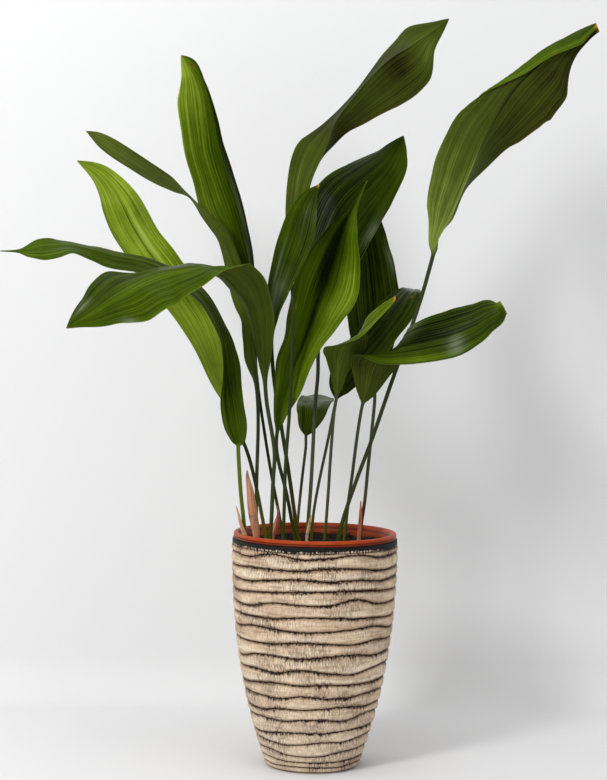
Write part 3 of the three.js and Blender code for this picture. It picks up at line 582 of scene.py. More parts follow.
# Each leaf: its stalk's radius and points from the soil up, and its blade's points from base to tip. A
# blade point adds the half width and, in degrees, the roll about the leaf's own line and the fold of
# each half towards the upper side. At roll 0 the upper side looks along face, the front unless given. A
# seventh value is the share of the half width that one half has more and the other has less. The hem
# is places along the blade, and how wide a margin has turned back under it there.
LEAVES = {
    "leaf_a": dict(radius=2.3, stalk=[
        [-70, -2, 210], [-80, -2, 256], [-83, -2, 285], [-87, -3, 320]], blade=[
        [-90, -6, 365, 1, 0, 0], [-90, -8, 379, 9, 0, 25], [-93, -10, 398, 15.5, 4, 30],
        [-97, -12, 423, 17, 4, 35], [-103, -15, 449, 17, -25, 45], [-107, -18, 477, 16, -52, 30],
        [-113, -18, 504, 18, -68, 12], [-139, -18, 547, 22, -75, 5], [-191, -20, 576, 25, -70, 0],
        [-236, -30, 586, 22, -60, -3], [-258, -38, 593, 22, -68, -5], [-281, -46, 598, 21, -73, 0],
        [-298, -52, 597, 20, -58, 0], [-315, -56, 595, 16, -45, 0], [-328, -60, 593, 9, -45, 0],
        [-339, -63, 593, 2.5, -45, 0], [-358, -68, 593, 0.8, -45, 0]]),
    "leaf_b": dict(radius=2.1, stalk=[
        [-67, 26, 205], [-68, 24, 253], [-69, 23, 277], [-69, 22, 330], [-68, 22, 389]], blade=[
        [-69, 20, 424, 1, 200, 0], [-72, 20, 447, 4, 200, 20], [-78, 20, 471, 8, 180, 35],
        [-80, 21, 494, 8, 170, 35], [-81, 23, 517, 9, 130, 30], [-88, 26, 540, 11, 150, 30],
        [-99, 29, 578, 12, 178, 35], [-112, 32, 610, 11, 195, 42], [-124, 33, 626, 10, 225, 20],
        [-135, 36, 640, 10, 248, 0], [-153, 42, 661, 9, 262, 0], [-173, 50, 675, 14, 238, 0],
        [-200, 60, 690, 19, 235, 0], [-231, 70, 709, 18, 235, 0], [-260, 76, 727, 11, 230, 0],
        [-278, 80, 738, 0.6, 225, 5]]),
    "leaf_c": dict(radius=2.1, stalk=[
        [-52, 10, 208], [-56, 8, 255], [-61, 8, 284], [-71, 10, 331], [-80, 12, 363]], blade=[
        [-91, 14, 389, 1, 0, 0], [-101, 16, 418, 6, 5, 15], [-112, 20, 447, 13, 5, 25],
        [-131, 28, 502, 22, 5, 25], [-155, 36, 541, 25.5, 5, 25], [-183, 44, 574, 27.5, 0, 25],
        [-204, 52, 601, 27, 0, 22], [-220, 60, 625, 27, 0, 20], [-232, 66, 648, 25, 0, 22],
        [-243, 72, 667, 20, 0, 22], [-257, 78, 684, 14, 0, 20], [-271, 82, 694, 8.5, 0, 20],
        [-289, 86, 703, 0.6, 5, 10]]),
    "leaf_d": dict(radius=2.3, stalk=[
        [-60, -24, 213], [-54, -24, 254], [-51, -25, 277], [-49, -28, 335], [-48, -30, 370]], blade=[
        [-57, -34, 422, 1, 180, 0], [-60, -40, 456, 5, 185, 18], [-62, -47, 488, 11, 190, 25],
        [-65, -54, 513, 15.5, 200, 22], [-71, -62, 538, 19, 213, 10], [-80, -70, 557, 24, 212, 4],
        [-93, -82, 571, 27, 228, 4], [-107, -98, 576, 31, 257, 5], [-126, -114, 578, 36, 277, -1],
        [-150, -128, 576, 40, 300, -24, 0.12], [-173, -140, 572, 46.5, 306, -27],
        [-192, -148, 564, 47, 311, -23], [-210, -155, 554, 45, 322, -18],
        [-228, -161, 542, 35.5, 326, -13], [-242, -166, 531, 24, 330, -13],
        [-258, -170, 520, 11.5, 340, -8], [-271, -174, 510, 0.6, 345, -5]]),
    "leaf_e": dict(radius=1.8, stalk=[
        [-28, 34, 205], [-36, 32, 252], [-41, 32, 282], [-53, 32, 341], [-64, 34, 405]], blade=[
        [-70, 38, 446, 1, 15, 0], [-74, 42, 487, 5, 15, 20], [-77, 46, 529, 11, 20, 38],
        [-85, 52, 585, 19, 16, 42], [-95, 56, 623, 29, 20, 45], [-105, 60, 654, 37, 23, 45],
        [-117, 64, 686, 37, 17, 47], [-126, 68, 717, 38, 20, 47], [-130, 72, 747, 38, 25, 48],
        [-134, 75, 776, 36, 30, 52], [-140, 78, 795, 30, 31, 52], [-150, 80, 812, 20, 22, 48],
        [-166, 82, 829, 0.8, 20, 20]]),
    "leaf_f": dict(radius=2, stalk=[
        [-40, -20, 213], [-37, -20, 253], [-36, -22, 300], [-35, -24, 353], [-31, -27, 418],
        [-29, -42, 491], [-29, -53, 542]], blade=[
        [-31, -56, 578, 1, 160, 0], [-26, -54, 610, 11, 150, 45], [-19, -50, 641, 22, 150, 60],
        [-11, -46, 673, 30, 150, 58], [-2, -43, 696, 33, 141, 49], [7, -40, 717, 33, 153, 56],
        [17, -37, 744, 33, 186, 64], [34, -36, 768, 36, 205, 55], [55, -36, 794, 46, 213, 50],
        [78, -36, 816, 50, 211, 46], [98, -37, 829, 44, 206, 38], [115, -39, 841, 23, 189, 33],
        [130, -40, 851, 10, 185, 25], [143, -42, 861, 0.6, 185, 5]]),
    "leaf_g": dict(radius=2.3, stalk=[
        [-10, 10, 209], [-17, 8, 256], [-21, 8, 273], [-31, 6, 338], [-41, 3, 396],
        [-48, -3, 437]], blade=[
        [-52, -12, 472, 1, 0, 0], [-53, -22, 501, 4, 0, 10], [-51, -40, 530, 8.5, 0, 20],
        [-44, -56, 559, 14, 0, 20], [-34, -66, 589, 18, 0, 18], [-26, -70, 613, 20, 0, 18],
        [-19, -70, 638, 17, 0, 18], [-11, -68, 658, 9, 0, 15], [-1, -65, 672, 0.6, 0, 10]]),
    "leaf_h": dict(radius=2.1, stalk=[
        [-12, -12, 212], [-21, -12, 258], [-26, -12, 281], [-34, -12, 320], [-43, -13, 354]], blade=[
        [-46, -14, 378, 1, 0, 0], [-42, -15, 409, 8, 0, 20], [-34, -17, 438, 19, 0, 36],
        [-26, -16, 465, 27, 8, 42], [-16, -15, 490, 32, 6, 47], [-8, -14, 513, 40, 2, 46],
        [1, -15, 542, 47, -4, 42], [10, -16, 565, 49, -2, 42], [19, -18, 594, 42, 0, 45],
        [27, -20, 620, 28, 0, 50], [36, -21, 642, 9, 0, 35], [44, -22, 659, 3, 0, 20],
        [54, -23, 679, 0.6, 0, 10]]),
    "leaf_i": dict(radius=2.2, stalk=[
        [-11, -6, 211], [-10, -6, 252], [-8, -6, 287], [-5, -4, 336], [-2, 6, 414],
        [1, 14, 454]], blade=[
        [1, 18, 478, 1, 0, 0], [2, 20, 507, 9, 0, 5], [5, 22, 547, 23, 0, -8],
        [11, 25, 591, 38, 0, -18], [21, 28, 625, 46, 0, -24], [36, 31, 652, 49, -3, -27],
        [59, 35, 678, 42, 0, -30], [80, 40, 702, 28, 4, -30], [90, 44, 719, 15, 6, -22],
        [98, 48, 735, 0.8, 0, -5]]),
    "leaf_j": dict(radius=1.7, face=FRONT_AND_UP, stalk=[
        [-24, 30, 205], [-21, 28, 253], [-20, 28, 284], [-16, 27, 330], [-12, 26, 368]], blade=[
        [-12, 28, 380, 1, 0, 0], [-10, 31, 391, 11, 5, 15], [-6, 36, 403, 17, 5, 15],
        [-4, 46, 413, 20, 5, 10], [0, 80, 419, 21, 0, 8], [4, 115, 420, 18, 0, 5],
        [9, 145, 421, 12, 0, 5], [14, 170, 421, 0.6, 0, 0]]),
    "leaf_k": dict(radius=1.7, face=FRONT_AND_UP, stalk=[
        [-5, 24, 207], [-4, 22, 254], [-2, 22, 290], [4, 22, 328], [14, 24, 378]], blade=[
        [22, 26, 421, 1, 0, 0], [27, 27, 439, 14, 0, 10], [39, 29, 458, 24, 0, 15],
        [57, 31, 481, 25, 0, 15], [76, 34, 504, 24, 0, 15], [92, 38, 525, 24, 0, 15],
        [104, 44, 543, 18, 0, 12], [110, 56, 552, 12, 0, 10], [114, 84, 555, 8, 0, 5],
        [116, 104, 555, 0.6, 0, 0]]),
    "leaf_l": dict(radius=1.8, face=BACK_AND_UP, stalk=[
        [9, 6, 209], [11, 6, 256], [13, 4, 286], [15, 2, 321], [17, 0, 362], [20, -4, 409]], blade=[
        [22, -6, 424, 1, 0, 0], [24, -9, 441, 6, 0, 20], [25, -14, 457, 11, 0, 20],
        [28, -22, 472, 19, -5, 12], [32, -34, 486, 27, -20, 5], [41, -48, 498, 27, -48, 5],
        [54, -60, 512, 20, -72, 5], [70, -74, 529, 17, -78, 5], [81, -81, 540, 11, -75, 5],
        [86, -84, 546, 5, -75, 5]]),
    "leaf_m": dict(radius=2.3, hem=((0.55, 0.62, 0.72, 0.82, 0.93, 1), (0, 7, 15, 18, 22, 9)), stalk=[
        [18, -10, 212], [26, -12, 259], [32, -12, 288], [47, -10, 334], [65, -4, 383], [87, 8, 448],
        [108, 14, 508], [121, 16, 549]], blade=[
        [131, 16, 587, 1, 170, 0], [138, 16, 613, 12, 148, 48], [152, 15, 639, 31, 148, 47],
        [168, 12, 677, 43, 153, 55], [186, 8, 725, 46, 169, 38], [197, 4, 747, 44, 178, 28, -0.1],
        [209, 0, 769, 40, 180, 20, -0.35], [223, -4, 790, 36, 182, 14, -0.62],
        [251, -11, 818, 28, 184, 12, -0.72], [278, -17, 836, 13, 184, 10, -0.5],
        [300, -21, 849, 7, 184, 8, -0.3], [314, -24, 855, 4.5, 184, 0]]),
    "leaf_n": dict(radius=1.9, face=BACK_AND_UP, stalk=[
        [30, 10, 209], [34, 10, 256], [38, 8, 303], [42, 4, 335], [47, -4, 382]], blade=[
        [52, -10, 418, 1, 0, 0], [57, -14, 436, 12, 0, 12], [61, -19, 451, 21, 0, 18],
        [65, -30, 466, 28, 0, 15], [74, -48, 480, 31, -25, 5], [91, -68, 489, 32, -70, 5],
        [119, -88, 498, 31, -98, 5], [148, -102, 506, 30, -102, 5], [172, -112, 517, 28, -100, 5],
        [187, -117, 527, 24, -97, 5], [198, -120, 533, 19, -93, 5, 0.12],
        [203, -122, 539, 15, -90, 5, 0.25]]),
    "leaf_o": dict(radius=2, stalk=[
        [47, 12, 209], [51, 12, 250], [54, 14, 279], [58, 16, 309], [62, 22, 355],
        [68, 34, 419]], blade=[
        [68, 40, 439, 1, 0, 0], [67, 46, 460, 14, 0, 15], [66, 54, 489, 27, 0, 20],
        [65, 68, 534, 35, 0, 22], [61, 76, 577, 33, 0, 22], [57, 78, 613, 26, 0, 20],
        [57, 83, 647, 15, 0, 15], [62, 88, 679, 0.8, 0, 10]]),
}
# How light each leaf's green is at its base, middle and tip, its own tone and painted light together, how
# much lighter its right half is, as painted light and shade, how dry its tip, how red its foot, and its
# stalk, from dark at 0 over a painted grey sheen to light fresh green at 1.
LEAF_LOOKS = {
    "leaf_a": ((0.3, 0.2, 0.42), 0, 0, 0.5, 1.0),
    "leaf_b": ((0.5, 0.56, 0.58), 0, 0, 0.1, 0.5),
    "leaf_c": ((1.1, 0.72, 0.72), 0, 0, 0.45, 0.1),
    "leaf_d": ((0.4, 0.36, 0.3), -0.1, 0, 0.2, 0.25),
    "leaf_e": ((0.2, 0.44, 0.7), -0.2, 0.004, 0.8, 0),
    "leaf_f": ((0.44, 0.18, 0.46), 0, 0, 0.2, 0.2),
    "leaf_g": ((0.22, 0.16, 0.2), 0, 0.015, 0.7, 0.1),
    "leaf_h": ((0.34, 0.48, 0.42), 0.08, 0, 0.1, 0.15),
    "leaf_i": ((0.12, 0.12, 0.26), 0.1, 0, 0.3, 0.5),
    "leaf_j": ((0.3, 0.3, 0.3), 0, 0, 0.5, 0.5),
    "leaf_k": ((0.16, 0.16, 0.2), 0, 0, 0.5, 0.55),
    "leaf_l": ((0.5, 0.5, 0.62), 0, 0.02, 0.3, 0.45),
    "leaf_m": ((1.0, 0.34, 0.24), 0.12, 0.006, 0.2, 0.2),
    "leaf_n": ((0.45, 0.1, 0.14), 0, 0, 0.3, 0.3),
    "leaf_o": ((0.22, 0.2, 0.22), 0, 0, 0.9, 0.45),
}
# Soft patches: where along and across the blade, how far each way, and how strong. The first table paints
# light and shade as lighter or darker green, the second paints a grey sheen as a reflection would, and
# spots are brown.
PAINTED_LIGHT_AND_SHADE = {
    "leaf_c": ((0.66, 0.1, 0.25, 0.1, 0.35), (0.7, 0.2, 0, 0.04, -0.3), (0.85, 0.06, 0.6, 0.3, 0.2)),
    "leaf_e": ((0.6, 0.5, 0.95, 0.4, -0.5), (0.3, 0.15, -0.2, 0.6, -0.15)),
    "leaf_f": ((0.78, 0.06, -0.1, 0.6, -0.3), (0.9, 0.06, -0.5, 0.6, 0.35), (0.64, 0.12, 0.9, 0.3, -0.3),
               (0.3, 0.13, 0.4, 0.7, 0.3)),
    "leaf_h": ((0.74, 0.16, -0.25, 0.2, -0.8), (0.45, 0.25, -0.06, 0.08, -0.5),
               (0.6, 0.16, 0.8, 0.3, 0.22), (0.85, 0.12, -0.9, 0.4, -0.3)),
    "leaf_m": ((0.25, 0.22, 0, 0.05, 0.4), (0.68, 0.16, 0, 0.05, -0.5)),
    "leaf_n": ((0.6, 0.2, 0.85, 0.25, 0.35), (0.62, 0.12, -0.2, 0.4, -0.2), (1.0, 0.04, -0.9, 0.6, 0.5)),
    "leaf_i": ((0.55, 0.12, -0.4, 0.3, -0.15),),
}
PAINTED_SHEEN = {
    "leaf_a": ((0.7, 0.06, 0.8, 0.3, 0.5),),
    "leaf_c": ((0.66, 0.08, 0.2, 0.08, 0.6), (0.2, 0.1, -0.4, 0.1, 0.3)),
    "leaf_d": ((0.45, 0.2, 0.95, 0.12, 0.4), (0.93, 0.03, 0.6, 0.2, 0.6), (0.85, 0.02, -0.95, 0.12, 0.9)),
    "leaf_e": ((0.5, 0.12, 0.75, 0.12, 0.4), (0.35, 0.08, 0.5, 0.1, 0.5)),
    "leaf_g": ((0.38, 0.1, 0.1, 0.5, 0.7), (0.55, 0.1, -0.5, 0.1, 0.4)),
    "leaf_i": ((0.88, 0.08, -0.95, 0.2, 0.7), (0.6, 0.07, 0.92, 0.14, 0.9)),
    "leaf_k": ((0.8, 0.15, -0.4, 0.4, 0.6),),
    "leaf_n": ((0.74, 0.035, 0.5, 0.4, 0.9), (0.46, 0.08, -0.9, 0.35, 0.6)),
    "leaf_o": ((0.24, 0.05, 0.6, 0.3, 0.9), (0.62, 0.06, 0.9, 0.12, 0.7)),
}
SPOTS = {
    "leaf_a": ((0.7, 0.05, 0.85, 0.25, 0.36),), "leaf_e": ((0.955, 0.012, 0.2, 0.2, 1.0),),
    "leaf_f": ((0.55, 0.3, -1.0, 0.05, 0.5),), "leaf_h": ((0.93, 0.012, 0, 0.5, 0.4),),
    "leaf_i": ((0.8, 0.2, 1.0, 0.05, 0.6),), "leaf_k": ((0.72, 0.012, 0.3, 0.1, 0.9),),
    "leaf_m": ((0.5, 0.35, -1.0, 0.05, 0.55),),
}


def curve_point(rows, t):
    """A point of the smooth curve through the rows, each of which it passes in equal steps of t."""
    span = min(max(t, 0), 1) * (len(rows) - 1)
    k = min(int(span), len(rows) - 2)
    part = span - k
    b, c = rows[k], rows[k + 1]
    a = rows[k - 1] if k > 0 else 2 * b - c
    d = rows[k + 2] if k + 2 < len(rows) else 2 * c - b
    return smooth(a, b, c, d, part)


def soft_step(value, low, high):
    """Goes softly from 0 at low to 1 at high."""
    part = min(max((value - low) / (high - low), 0), 1)
    return part * part * (3 - 2 * part)


def leaf_stops(rows, start, stalk_stops, blade_stops):
    """Places along the leaf, each with the part of the blade that is behind it."""
    stops = [(start * k / stalk_stops, 0.0) for k in range(stalk_stops)]
    places = np.linspace(start, 1, LENGTH_SAMPLES)
    points = np.array([curve_point(rows, t)[:3] for t in places])
    reach = np.concatenate([[0], np.cumsum(np.linalg.norm(np.diff(points, axis=0), axis=1))])
    for k in range(blade_stops + 1):
        u = k / blade_stops
        stops.append((float(np.interp(u * reach[-1], reach, places)), u))
    return stops


def leaf_frame(rows, t, face):
    """The row at t, and the ways across the leaf and out of its upper side, turned by its roll."""
    centre = curve_point(rows, t)
    ahead = curve_point(rows, t + SMALL_STEP)[:3] - curve_point(rows, t - SMALL_STEP)[:3]
    ahead /= np.linalg.norm(ahead)
    side = np.cross(ahead, face)
    side /= np.linalg.norm(side)
    lift = np.cross(side, ahead)
    turn = math.radians(-centre[4])
    side, lift = (w * math.cos(turn) + np.cross(ahead, w) * math.sin(turn) for w in (side, lift))
    return centre, side, lift


def turned_hem(across, reach, turned_back):
    """Where the points of each half lie, out and deep, once the right margin has curled back."""
    curl = max(min(CURL_RADIUS, turned_back / 4), 0.1)
    full_turn = math.pi - CURL_OPEN
    length = np.abs(across) * (reach + np.where(across > 0, turned_back, 0))
    past = np.maximum(length - reach, 0)
    length = np.minimum(length, reach)
    turned = np.minimum(past / curl, full_turn)
    straight = np.maximum(past - curl * full_turn, 0)
    edge = length / reach
    deep = curl * (1 - np.cos(turned)) + straight * math.sin(CURL_OPEN)
    length = length + curl * np.sin(turned) - straight * math.cos(CURL_OPEN)
    return length, deep, turned, edge


def leaf_mesh(radius, stalk, blade, phase, seed, face=FRONT, thickness=BLADE_THICKNESS, hem=NO_HEM):
    """Rings round the leaf, upper side first, and what each point of them carries."""
    roll = blade[0][4]
    rows = [[*point, 0, roll, 0, 0] for point in stalk] + [[*row, 0][:7] for row in blade]
    rows = np.array(rows, float)
    start = len(stalk) / (len(rows) - 1)
    across = np.linspace(-1, 1, ACROSS_POINTS)
    v = np.abs(across)
    widest = max(row[3] for row in blade)
    pleats = max(2, round(widest / PLEAT_GAP))
    stem_angle = np.radians(90 - 84 * across)
    channel = 1 - 0.5 * np.exp(-((across / 0.3) ** 2))
    points, carried = [], []
    travelled, before = 0.0, None
    stops = (STALK_STOPS, BLADE_STOPS) if stalk else (0, BARE_BLADE_STOPS)
    for t, u in leaf_stops(rows, start, *stops):
        centre, side, lift = leaf_frame(rows, t, face)
        half = max(centre[3], THINNEST_HALF)
        half *= 1 + 0.05 * noise.noise(Vector((u * 9, seed, 0))) * min(half / 10, 1)
        reach = half * (1 + np.sign(across) * centre[6])
        length, deep, turned, edge = turned_hem(across, reach, float(np.interp(u, *hem)))
        flat = 1.0 if u > STEM_BLEND_END else soft_step(half, radius, 3 * radius)
        bend = np.radians(centre[5] + ARCH_DEGREES * (1 - v) / 2)
        sway = math.sin(math.tau * (EDGE_WAVES * u + phase))
        wave = EDGE_WAVE * reach * np.sign(across) * edge**2 * sway
        pleat = PLEAT_DEPTH * np.cos(math.tau * pleats * across) * min(half / 15, 1)
        swell = np.array([
            0.9 * noise.noise(Vector((s * half / 30, u * 5, seed)))
            + 0.35 * noise.noise(Vector((s * half / 7, u * 16, seed + 20))) for s in across
        ]) * min(half / 20, 1)
        rib = RIB_DEPTH * np.exp(-((across * half / 1.5) ** 2))
        outward = np.sign(across) * (length * np.cos(bend) + deep * np.sin(bend))
        out = np.cos(stem_angle) * radius * (1 - flat) + outward * flat
        rise = flat * (length * np.sin(bend) - deep * np.cos(bend) + wave + pleat + swell)
        skin = thickness / 2 * (1 - 0.45 * v**6)
        keel = KEEL * radius * (1 - u) * np.exp(-((across * half / (0.9 * radius)) ** 2))
        round_up = np.sin(stem_angle) * radius
        above = round_up * channel * (1 - flat) + (skin - rib) * flat
        below = round_up * (1 - flat) + (skin + keel) * flat
        tilt, level = np.sign(across) * np.sin(turned), np.cos(turned)
        for skin_side in (above, -below):
            spots = centre[:3] + np.outer(out + skin_side * tilt, side)
            spots = spots + np.outer(rise + skin_side * level, lift)
            points.extend(spots if skin_side is above else spots[::-1])
        if before is not None:
            travelled += float(np.linalg.norm(centre[:3] - before))
        before = centre[:3]
        both = np.concatenate([across, across[::-1]])
        carried.append([(s, travelled * MM, u, flat) for s in both])
    return points, np.array(carried).reshape(-1, 4), widest


def strip_faces(rings, count):
    """The faces between rings of points, with both ends closed, and which finish each has."""
    faces, which = [], []
    for k in range(rings - 1):
        for j in range(count):
            a = k * count + j
            b = k * count + (j + 1) % count
            faces.append((a, b, b + count, a + count))
            which.append(0 if j < count // 2 - 1 else 1)
    last = (rings - 1) * count
    for j in range(count // 2 - 1):
        a, b, c, d = j, j + 1, count - 2 - j, count - 1 - j
        faces.append((a, d, c, b))
        faces.append((last + a, last + b, last + c, last + d))
        which.extend((1, 1))
    return faces, which


def stalk_skin(fine, height, stem, red):
    """The stalk's colour: dark, a greyish painted reflection, or fresh green, and at its foot pale, green
    or rusty.
    """
    grain = fine.step(0.35, 0.7)
    deep = grain.pick(tint(22, 32, 7), tint(56, 72, 16))
    # Painted reflection: the greyish stalk colour stands in for a sheen on the stalk.
    painted_sheen_grey = grain.pick(tint(54, 58, 38), tint(96, 100, 76))
    fresh = grain.pick(tint(66, 86, 14), tint(122, 142, 42))
    skin = (stem * 2).pick(deep, painted_sheen_grey)
    skin = stem.step(0.6, 1.0).pick(skin, fresh)
    low = 1 - height.step(0.262, 0.335)
    grain = fine.step(0.3, 0.7)
    pale = grain.pick(tint(60, 72, 12), tint(132, 138, 46))
    rust = grain.pick(tint(84, 36, 20), tint(136, 78, 40))
    green = grain.pick(tint(26, 46, 10), tint(66, 92, 24))
    foot = red.step(0.1, 0.5).pick(green, pale)
    foot = red.step(0.5, 0.9).pick(foot, rust)
    return (low * 0.85).pick(skin, foot)


def leaf_finish(name, upper):
    """Green leather, streaked and veined along the leaf, with painted light, shade and reflection, the
    stalk and the dry tip.
    """
    made, start = start_finish(name)
    across, along, blade, flat, vein, bright, dry, red, stem, sheen, spot = (
        named(start, key)
        for key in "across along blade flat vein bright dry red stem sheen spot".split())
    where = place(start)
    off_middle = across.math("ABSOLUTE")
    streak = (across * 3.5).join(along * 2.2, red * 17).grain(1.5, 4, 0.6)
    fine = (across * 16).join(along * 5, red * 9).grain(1.3, 3, 0.6)
    patch = where.grain(11, 3, 0.5)
    thin = ((vein * math.tau).math("COSINE") * 0.5 + 0.5).math("POWER", 3.0)
    cloud = where.grain(38, 4, 0.6)
    # Painted light and shade ride on the tone, together with the leaf's own streaks and patches.
    tone = bright + (streak - 0.5) * (0.7 if upper else 0.4) + (fine - 0.5) * 0.9
    tone = tone + (patch - 0.5) * 0.4 + (cloud - 0.5) * 0.3
    if upper:
        dark, middle, light = tint(10, 19, 0), tint(68, 91, 3), tint(150, 172, 50)
    else:
        dark, middle, light = tint(24, 21, 5), tint(66, 76, 19), tint(124, 142, 60)
    body = tone.step(-0.1, 0.6).pick(dark, middle)
    body = tone.step(0.45, 1.15).pick(body, light)
    body = (thin * (0.05 if upper else 0.08)).pick(body, light)
    rib = (1 - off_middle.step(0.0, 0.03)) * flat
    body = (rib * (0.35 if upper else 0.12)).pick(body, dark if upper else light)
    margin = off_middle.step(0.972, 0.995) * flat
    body = (margin * 0.2).pick(body, light)
    # Painted reflection: a grey sheen laid in streaks where the blade carries it.
    painted_sheen_streaks = sheen * (fine * 0.6 + streak * 0.4).step(0.3, 0.6)
    body = (painted_sheen_streaks * 0.7).pick(body, tint(126, 140, 112))
    body = (spot * 1.4).step(0.3, 0.9).pick(body, tint(120, 78, 40))
    body = (1 - flat).pick(body, stalk_skin(fine, where.height(), stem, red))
    tip = (blade + dry + (fine - 0.5) * 0.02 + (streak - 0.5) * 0.02).step(0.99, 1.015)
    straw = fine.step(0.4, 0.6).pick(tint(150, 92, 20), tint(196, 150, 50))
    body = tip.pick(body, straw)
    gloss = (0.3 if upper else 0.48) + (patch - 0.5) * 0.16 + (fine - 0.5) * 0.1 + tip * 0.3
    shine = painted_sheen_streaks * 0.6 + (fine.step(0.45, 0.75) * 0.05 if upper else 0.0)
    relief = thin * 0.4 + fine * 0.6
    return end_finish(
        made, base_color=body, roughness=gloss, specular_ior_level=0.03 if upper else 0.02,
        coat_weight=shine, coat_roughness=0.22, normal=raised(start, relief, 0.0002))


def patches(places, blade, across):
    """What the soft patches come to at each point."""
    total = np.zeros(len(blade))
    for u, long, s, wide, most in places:
        total += most * np.exp(-(((blade - u) / long) ** 2 + ((across - s) / wide) ** 2))
    return total


def add_leaf(index, name, shape, looks, finishes):
    points, carried, widest = leaf_mesh(
        **shape, phase=EDGE_PHASE_STEP * index, seed=SEED_STEP * index)
    faces, which = strip_faces(len(points) // (2 * ACROSS_POINTS), 2 * ACROSS_POINTS)
    across, along, blade, flat = carried.T
    glow, lean, dry, red, stem = looks
    ones = np.ones(len(points))
    # Painted light and shade: the leaf's tone along it, one half lighter or darker, and soft lighter and
    # darker patches.
    bright = np.interp(blade, (0, 0.5, 1), glow) + lean * across
    bright = bright + patches(PAINTED_LIGHT_AND_SHADE.get(name, ()), blade, across)
    values = dict(
        across=across, along=along, blade=blade, flat=flat, vein=across * round(widest / VEIN_GAP),
        bright=bright, dry=ones * dry, red=ones * red, stem=ones * stem,
        sheen=patches(PAINTED_SHEEN.get(name, ()), blade, across) * (flat > 0.5),
        spot=patches(SPOTS.get(name, ()), blade, across) * (flat > 0.5))
    piece = add_piece(name + "_grown", points, faces, finishes, which, values, sharp=55)
    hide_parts(name)


leaf_finishes = [leaf_finish("leaf_upper_side", True), leaf_finish("leaf_underside", False)]
for index, (name, shape) in enumerate(LEAVES.items()):
    add_leaf(index, name, shape, LEAF_LOOKS[name], leaf_finishes)

# Dry scales
# Brown papery scales that once wrapped the young leaves and now stand loose at the feet of the stalks.
# They are thin, curled round their length and ribbed along it, and browner at their tips.
SHEATH_EDGE = 0.8
SHEATH_THICKNESS = 0.6
SHEATH_SEED = 50
# Each scale: how pale it is, from rust at 0 to straw at 1, and its points from its foot to its tip, as a
# leaf's blade has them.
SHEATHS = {
    "sheath_large": (0.45, [
        [-68, 3, 257, 4, 0, -40], [-69, 3, 272, 6, 0, -40], [-73, 3, 295, 6.5, 0, -35],
        [-76, 3, 318, 5, 0, -35], [-79, 3, 334, 2.5, 0, -30], [-80, 3, 343, 0.6, 0, -20]]),
    "sheath_curled": (0.6, [
        [-78, -9, 257, 3.5, 0, -45], [-82, -9, 268, 4, 10, -45], [-87, -9, 282, 3, 20, -45],
        [-90, -8, 294, 1.8, 30, -40], [-92, -7, 302, 0.6, 30, -20]]),
    "sheath_red": (0.25, [
        [-52, -14, 257, 3.5, 0, -35], [-50, -14, 268, 4.5, 0, -35], [-45, -14, 282, 4, 0, -35],
        [-43, -14, 293, 2, 0, -30], [-44, -14, 304, 0.6, 0, -20]]),
    "sheath_narrow": (0.95, [
        [-10, -11.5, 257, 2, 0, -40], [-9, -11.5, 270, 2.2, 0, -40], [-7, -12, 282, 2, 0, -35],
        [-5, -12.5, 293, 0.6, 0, -20]]),
    "sheath_brown": (0.15, [
        [51, 7, 257, 3, 0, -45], [52, 7.5, 272, 3.2, 0, -45], [53, 9, 290, 2.6, 0, -40],
        [53, 10.5, 308, 0.6, 0, -20]]),
}


def scale_finish():
    made, start = start_finish("dry_scale")
    across, along, blade, pale = (named(start, key) for key in "across along blade pale".split())
    fibres = (across * 9).join(along * 18, pale * 13).grain(2.2, 4, 0.65)
    patch = place(start).grain(120, 3, 0.6)
    rust = fibres.step(0.35, 0.68).pick(tint(160, 80, 52), tint(240, 156, 116))
    straw = fibres.step(0.35, 0.68).pick(tint(188, 140, 94), tint(250, 222, 180))
    body = (pale + (patch - 0.5) * 0.7).step(0.1, 0.9).pick(rust, straw)
    stain = patch.step(0.52, 0.66) * 0.55
    body = stain.pick(body, tint(96, 52, 34))
    body = (blade.step(0.8, 1.0) * 0.5).pick(body, tint(110, 66, 42))
    relief = fibres + patch * 0.4
    return end_finish(made, base_color=body, roughness=0.7, normal=raised(start, relief, 0.0004))


def add_sheath(index, name, pale, rows, finish):
    points, carried, _ = leaf_mesh(
        radius=SHEATH_EDGE, stalk=[], blade=rows, phase=0, seed=SHEATH_SEED + index,
        thickness=SHEATH_THICKNESS)
    faces, _ = strip_faces(len(points) // (2 * ACROSS_POINTS), 2 * ACROSS_POINTS)
    across, along, blade, _ = carried.T
    values = dict(across=across, along=along, blade=blade, pale=np.full(len(points), pale))
    piece = add_piece(name + "_paper", points, faces, [finish], values=values)
    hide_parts(name)


dry_scale = scale_finish()
for index, (name, (pale, rows)) in enumerate(SHEATHS.items()):
    add_sheath(index, name, pale, rows, dry_scale)

# Studio
# A pale table that curves up into a pale wall close behind the plant. The wall only shows its front, so
# it doesn't hide the plant in views from behind, where the same table goes on.
WALL_PLACE = 0.36
COVE_RADIUS = 0.06
COVE_STEPS = 12
TABLE_FRONT = -1.0
STUDIO_REACH = 5.0


def studio_finish():
    """Matt pale paper, which is clear from behind."""
    made, start = start_finish("pale_backdrop")
    end_finish(made, base_color=(0.85, 0.85, 0.855, 1), roughness=0.9, specular_ior_level=0.1)
    nodes = made.node_tree.nodes
    behind = start.node("ShaderNodeNewGeometry", {}, {}, "Backfacing")
    clear = start.node("ShaderNodeBsdfTransparent", {}, {})
    solid = Shade(made.node_tree, nodes["Principled BSDF"].outputs[0])
    both = start.node("ShaderNodeMixShader", {}, {0: behind, 1: solid, 2: clear})
    made.node_tree.links.new(both.socket, nodes["Material Output"].inputs["Surface"])
    return made


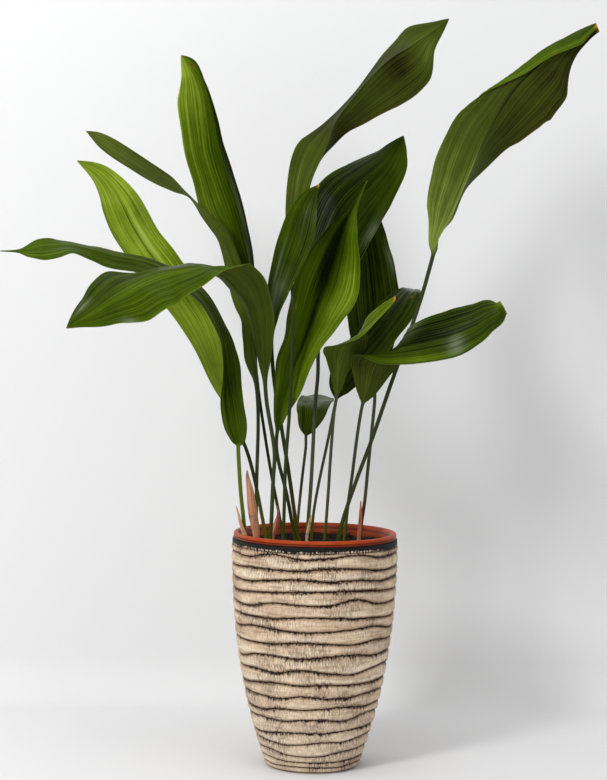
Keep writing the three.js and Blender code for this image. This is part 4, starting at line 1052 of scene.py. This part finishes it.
def add_studio():
    section = [(-STUDIO_REACH, 0.0), (TABLE_FRONT, 0.0), (WALL_PLACE - COVE_RADIUS, 0.0)]
    for k in range(1, COVE_STEPS + 1):
        angle = math.radians(90 * k / COVE_STEPS)
        section.append((
            WALL_PLACE - COVE_RADIUS + COVE_RADIUS * math.sin(angle),
            COVE_RADIUS - COVE_RADIUS * math.cos(angle),
        ))
    section.append((WALL_PLACE, STUDIO_REACH))
    mesh = bpy.data.meshes.new("studio_table")
    points = [(x, y, z) for x in (-STUDIO_REACH, STUDIO_REACH) for y, z in section]
    count = len(section)
    faces = [(k, k + count, k + count + 1, k + 1) for k in range(count - 1)]
    last = len(points)
    points.extend((x, y, -MM) for x in (-STUDIO_REACH, STUDIO_REACH) for y in (0.0, STUDIO_REACH))
    faces.append((last, last + 2, last + 3, last + 1))
    mesh.from_pydata(points, [], faces)
    mesh.polygons.foreach_set("use_smooth", [True] * len(mesh.polygons))
    mesh.materials.append(studio_finish())
    table = bpy.data.objects.new("studio_table", mesh)
    put_in(table)


add_studio()


def add_light(name, spot, aim, size, power):
    data = bpy.data.lights.new(name, "AREA")
    data.shape = "RECTANGLE"
    data.size, data.size_y = size
    data.energy = power
    lamp = bpy.data.objects.new(name, data)
    lamp.location = spot
    lamp.rotation_euler = (Vector(aim) - Vector(spot)).to_track_quat("-Z", "Y").to_euler()
    put_in(lamp)


add_light("key_softbox", spot=(-1.3, -1.75, 1.5), aim=(0, 0, 0.38), size=(0.5, 0.65), power=28)
add_light("top_softbox", spot=(-0.2, -0.5, 2.3), aim=(0, 0.1, 0.3), size=(1.2, 1.0), power=12)
add_light("fill_softbox", spot=(1.7, -1.8, 0.9), aim=(0, 0, 0.4), size=(1.0, 1.2), power=3)
world = bpy.data.worlds.new("white_room")
scene.world = world
world.use_nodes = True
room = world.node_tree.nodes["Background"].inputs
room["Color"].default_value = (1, 1, 1, 1)
room["Strength"].default_value = 0.44
scene.view_settings.view_transform = "Standard"

# Camera
# A long lens at the height of the lower leaves, a little above the planter's rim, tipped down slightly.
CAMERA_SPOT = (-0.0155, -2.43, 0.569)
CAMERA_PITCH = 3.1
CAMERA_ROLL = 0.75
SENSOR = 36
PHOTO_HEIGHT = 780
FOCAL_PIXELS = 2100
LENS = SENSOR * FOCAL_PIXELS / PHOTO_HEIGHT
camera_data = bpy.data.cameras.new("camera")
camera_data.sensor_width = SENSOR
camera_data.lens = LENS
camera = bpy.data.objects.new("camera", camera_data)
camera.location = CAMERA_SPOT
look = Vector((0, math.cos(math.radians(CAMERA_PITCH)), -math.sin(math.radians(CAMERA_PITCH))))
camera.rotation_mode = "QUATERNION"
level = look.to_track_quat("-Z", "Y")
camera.rotation_quaternion = level @ Quaternion((0, 0, 1), math.radians(CAMERA_ROLL))
put_in(camera)
scene.camera = camera
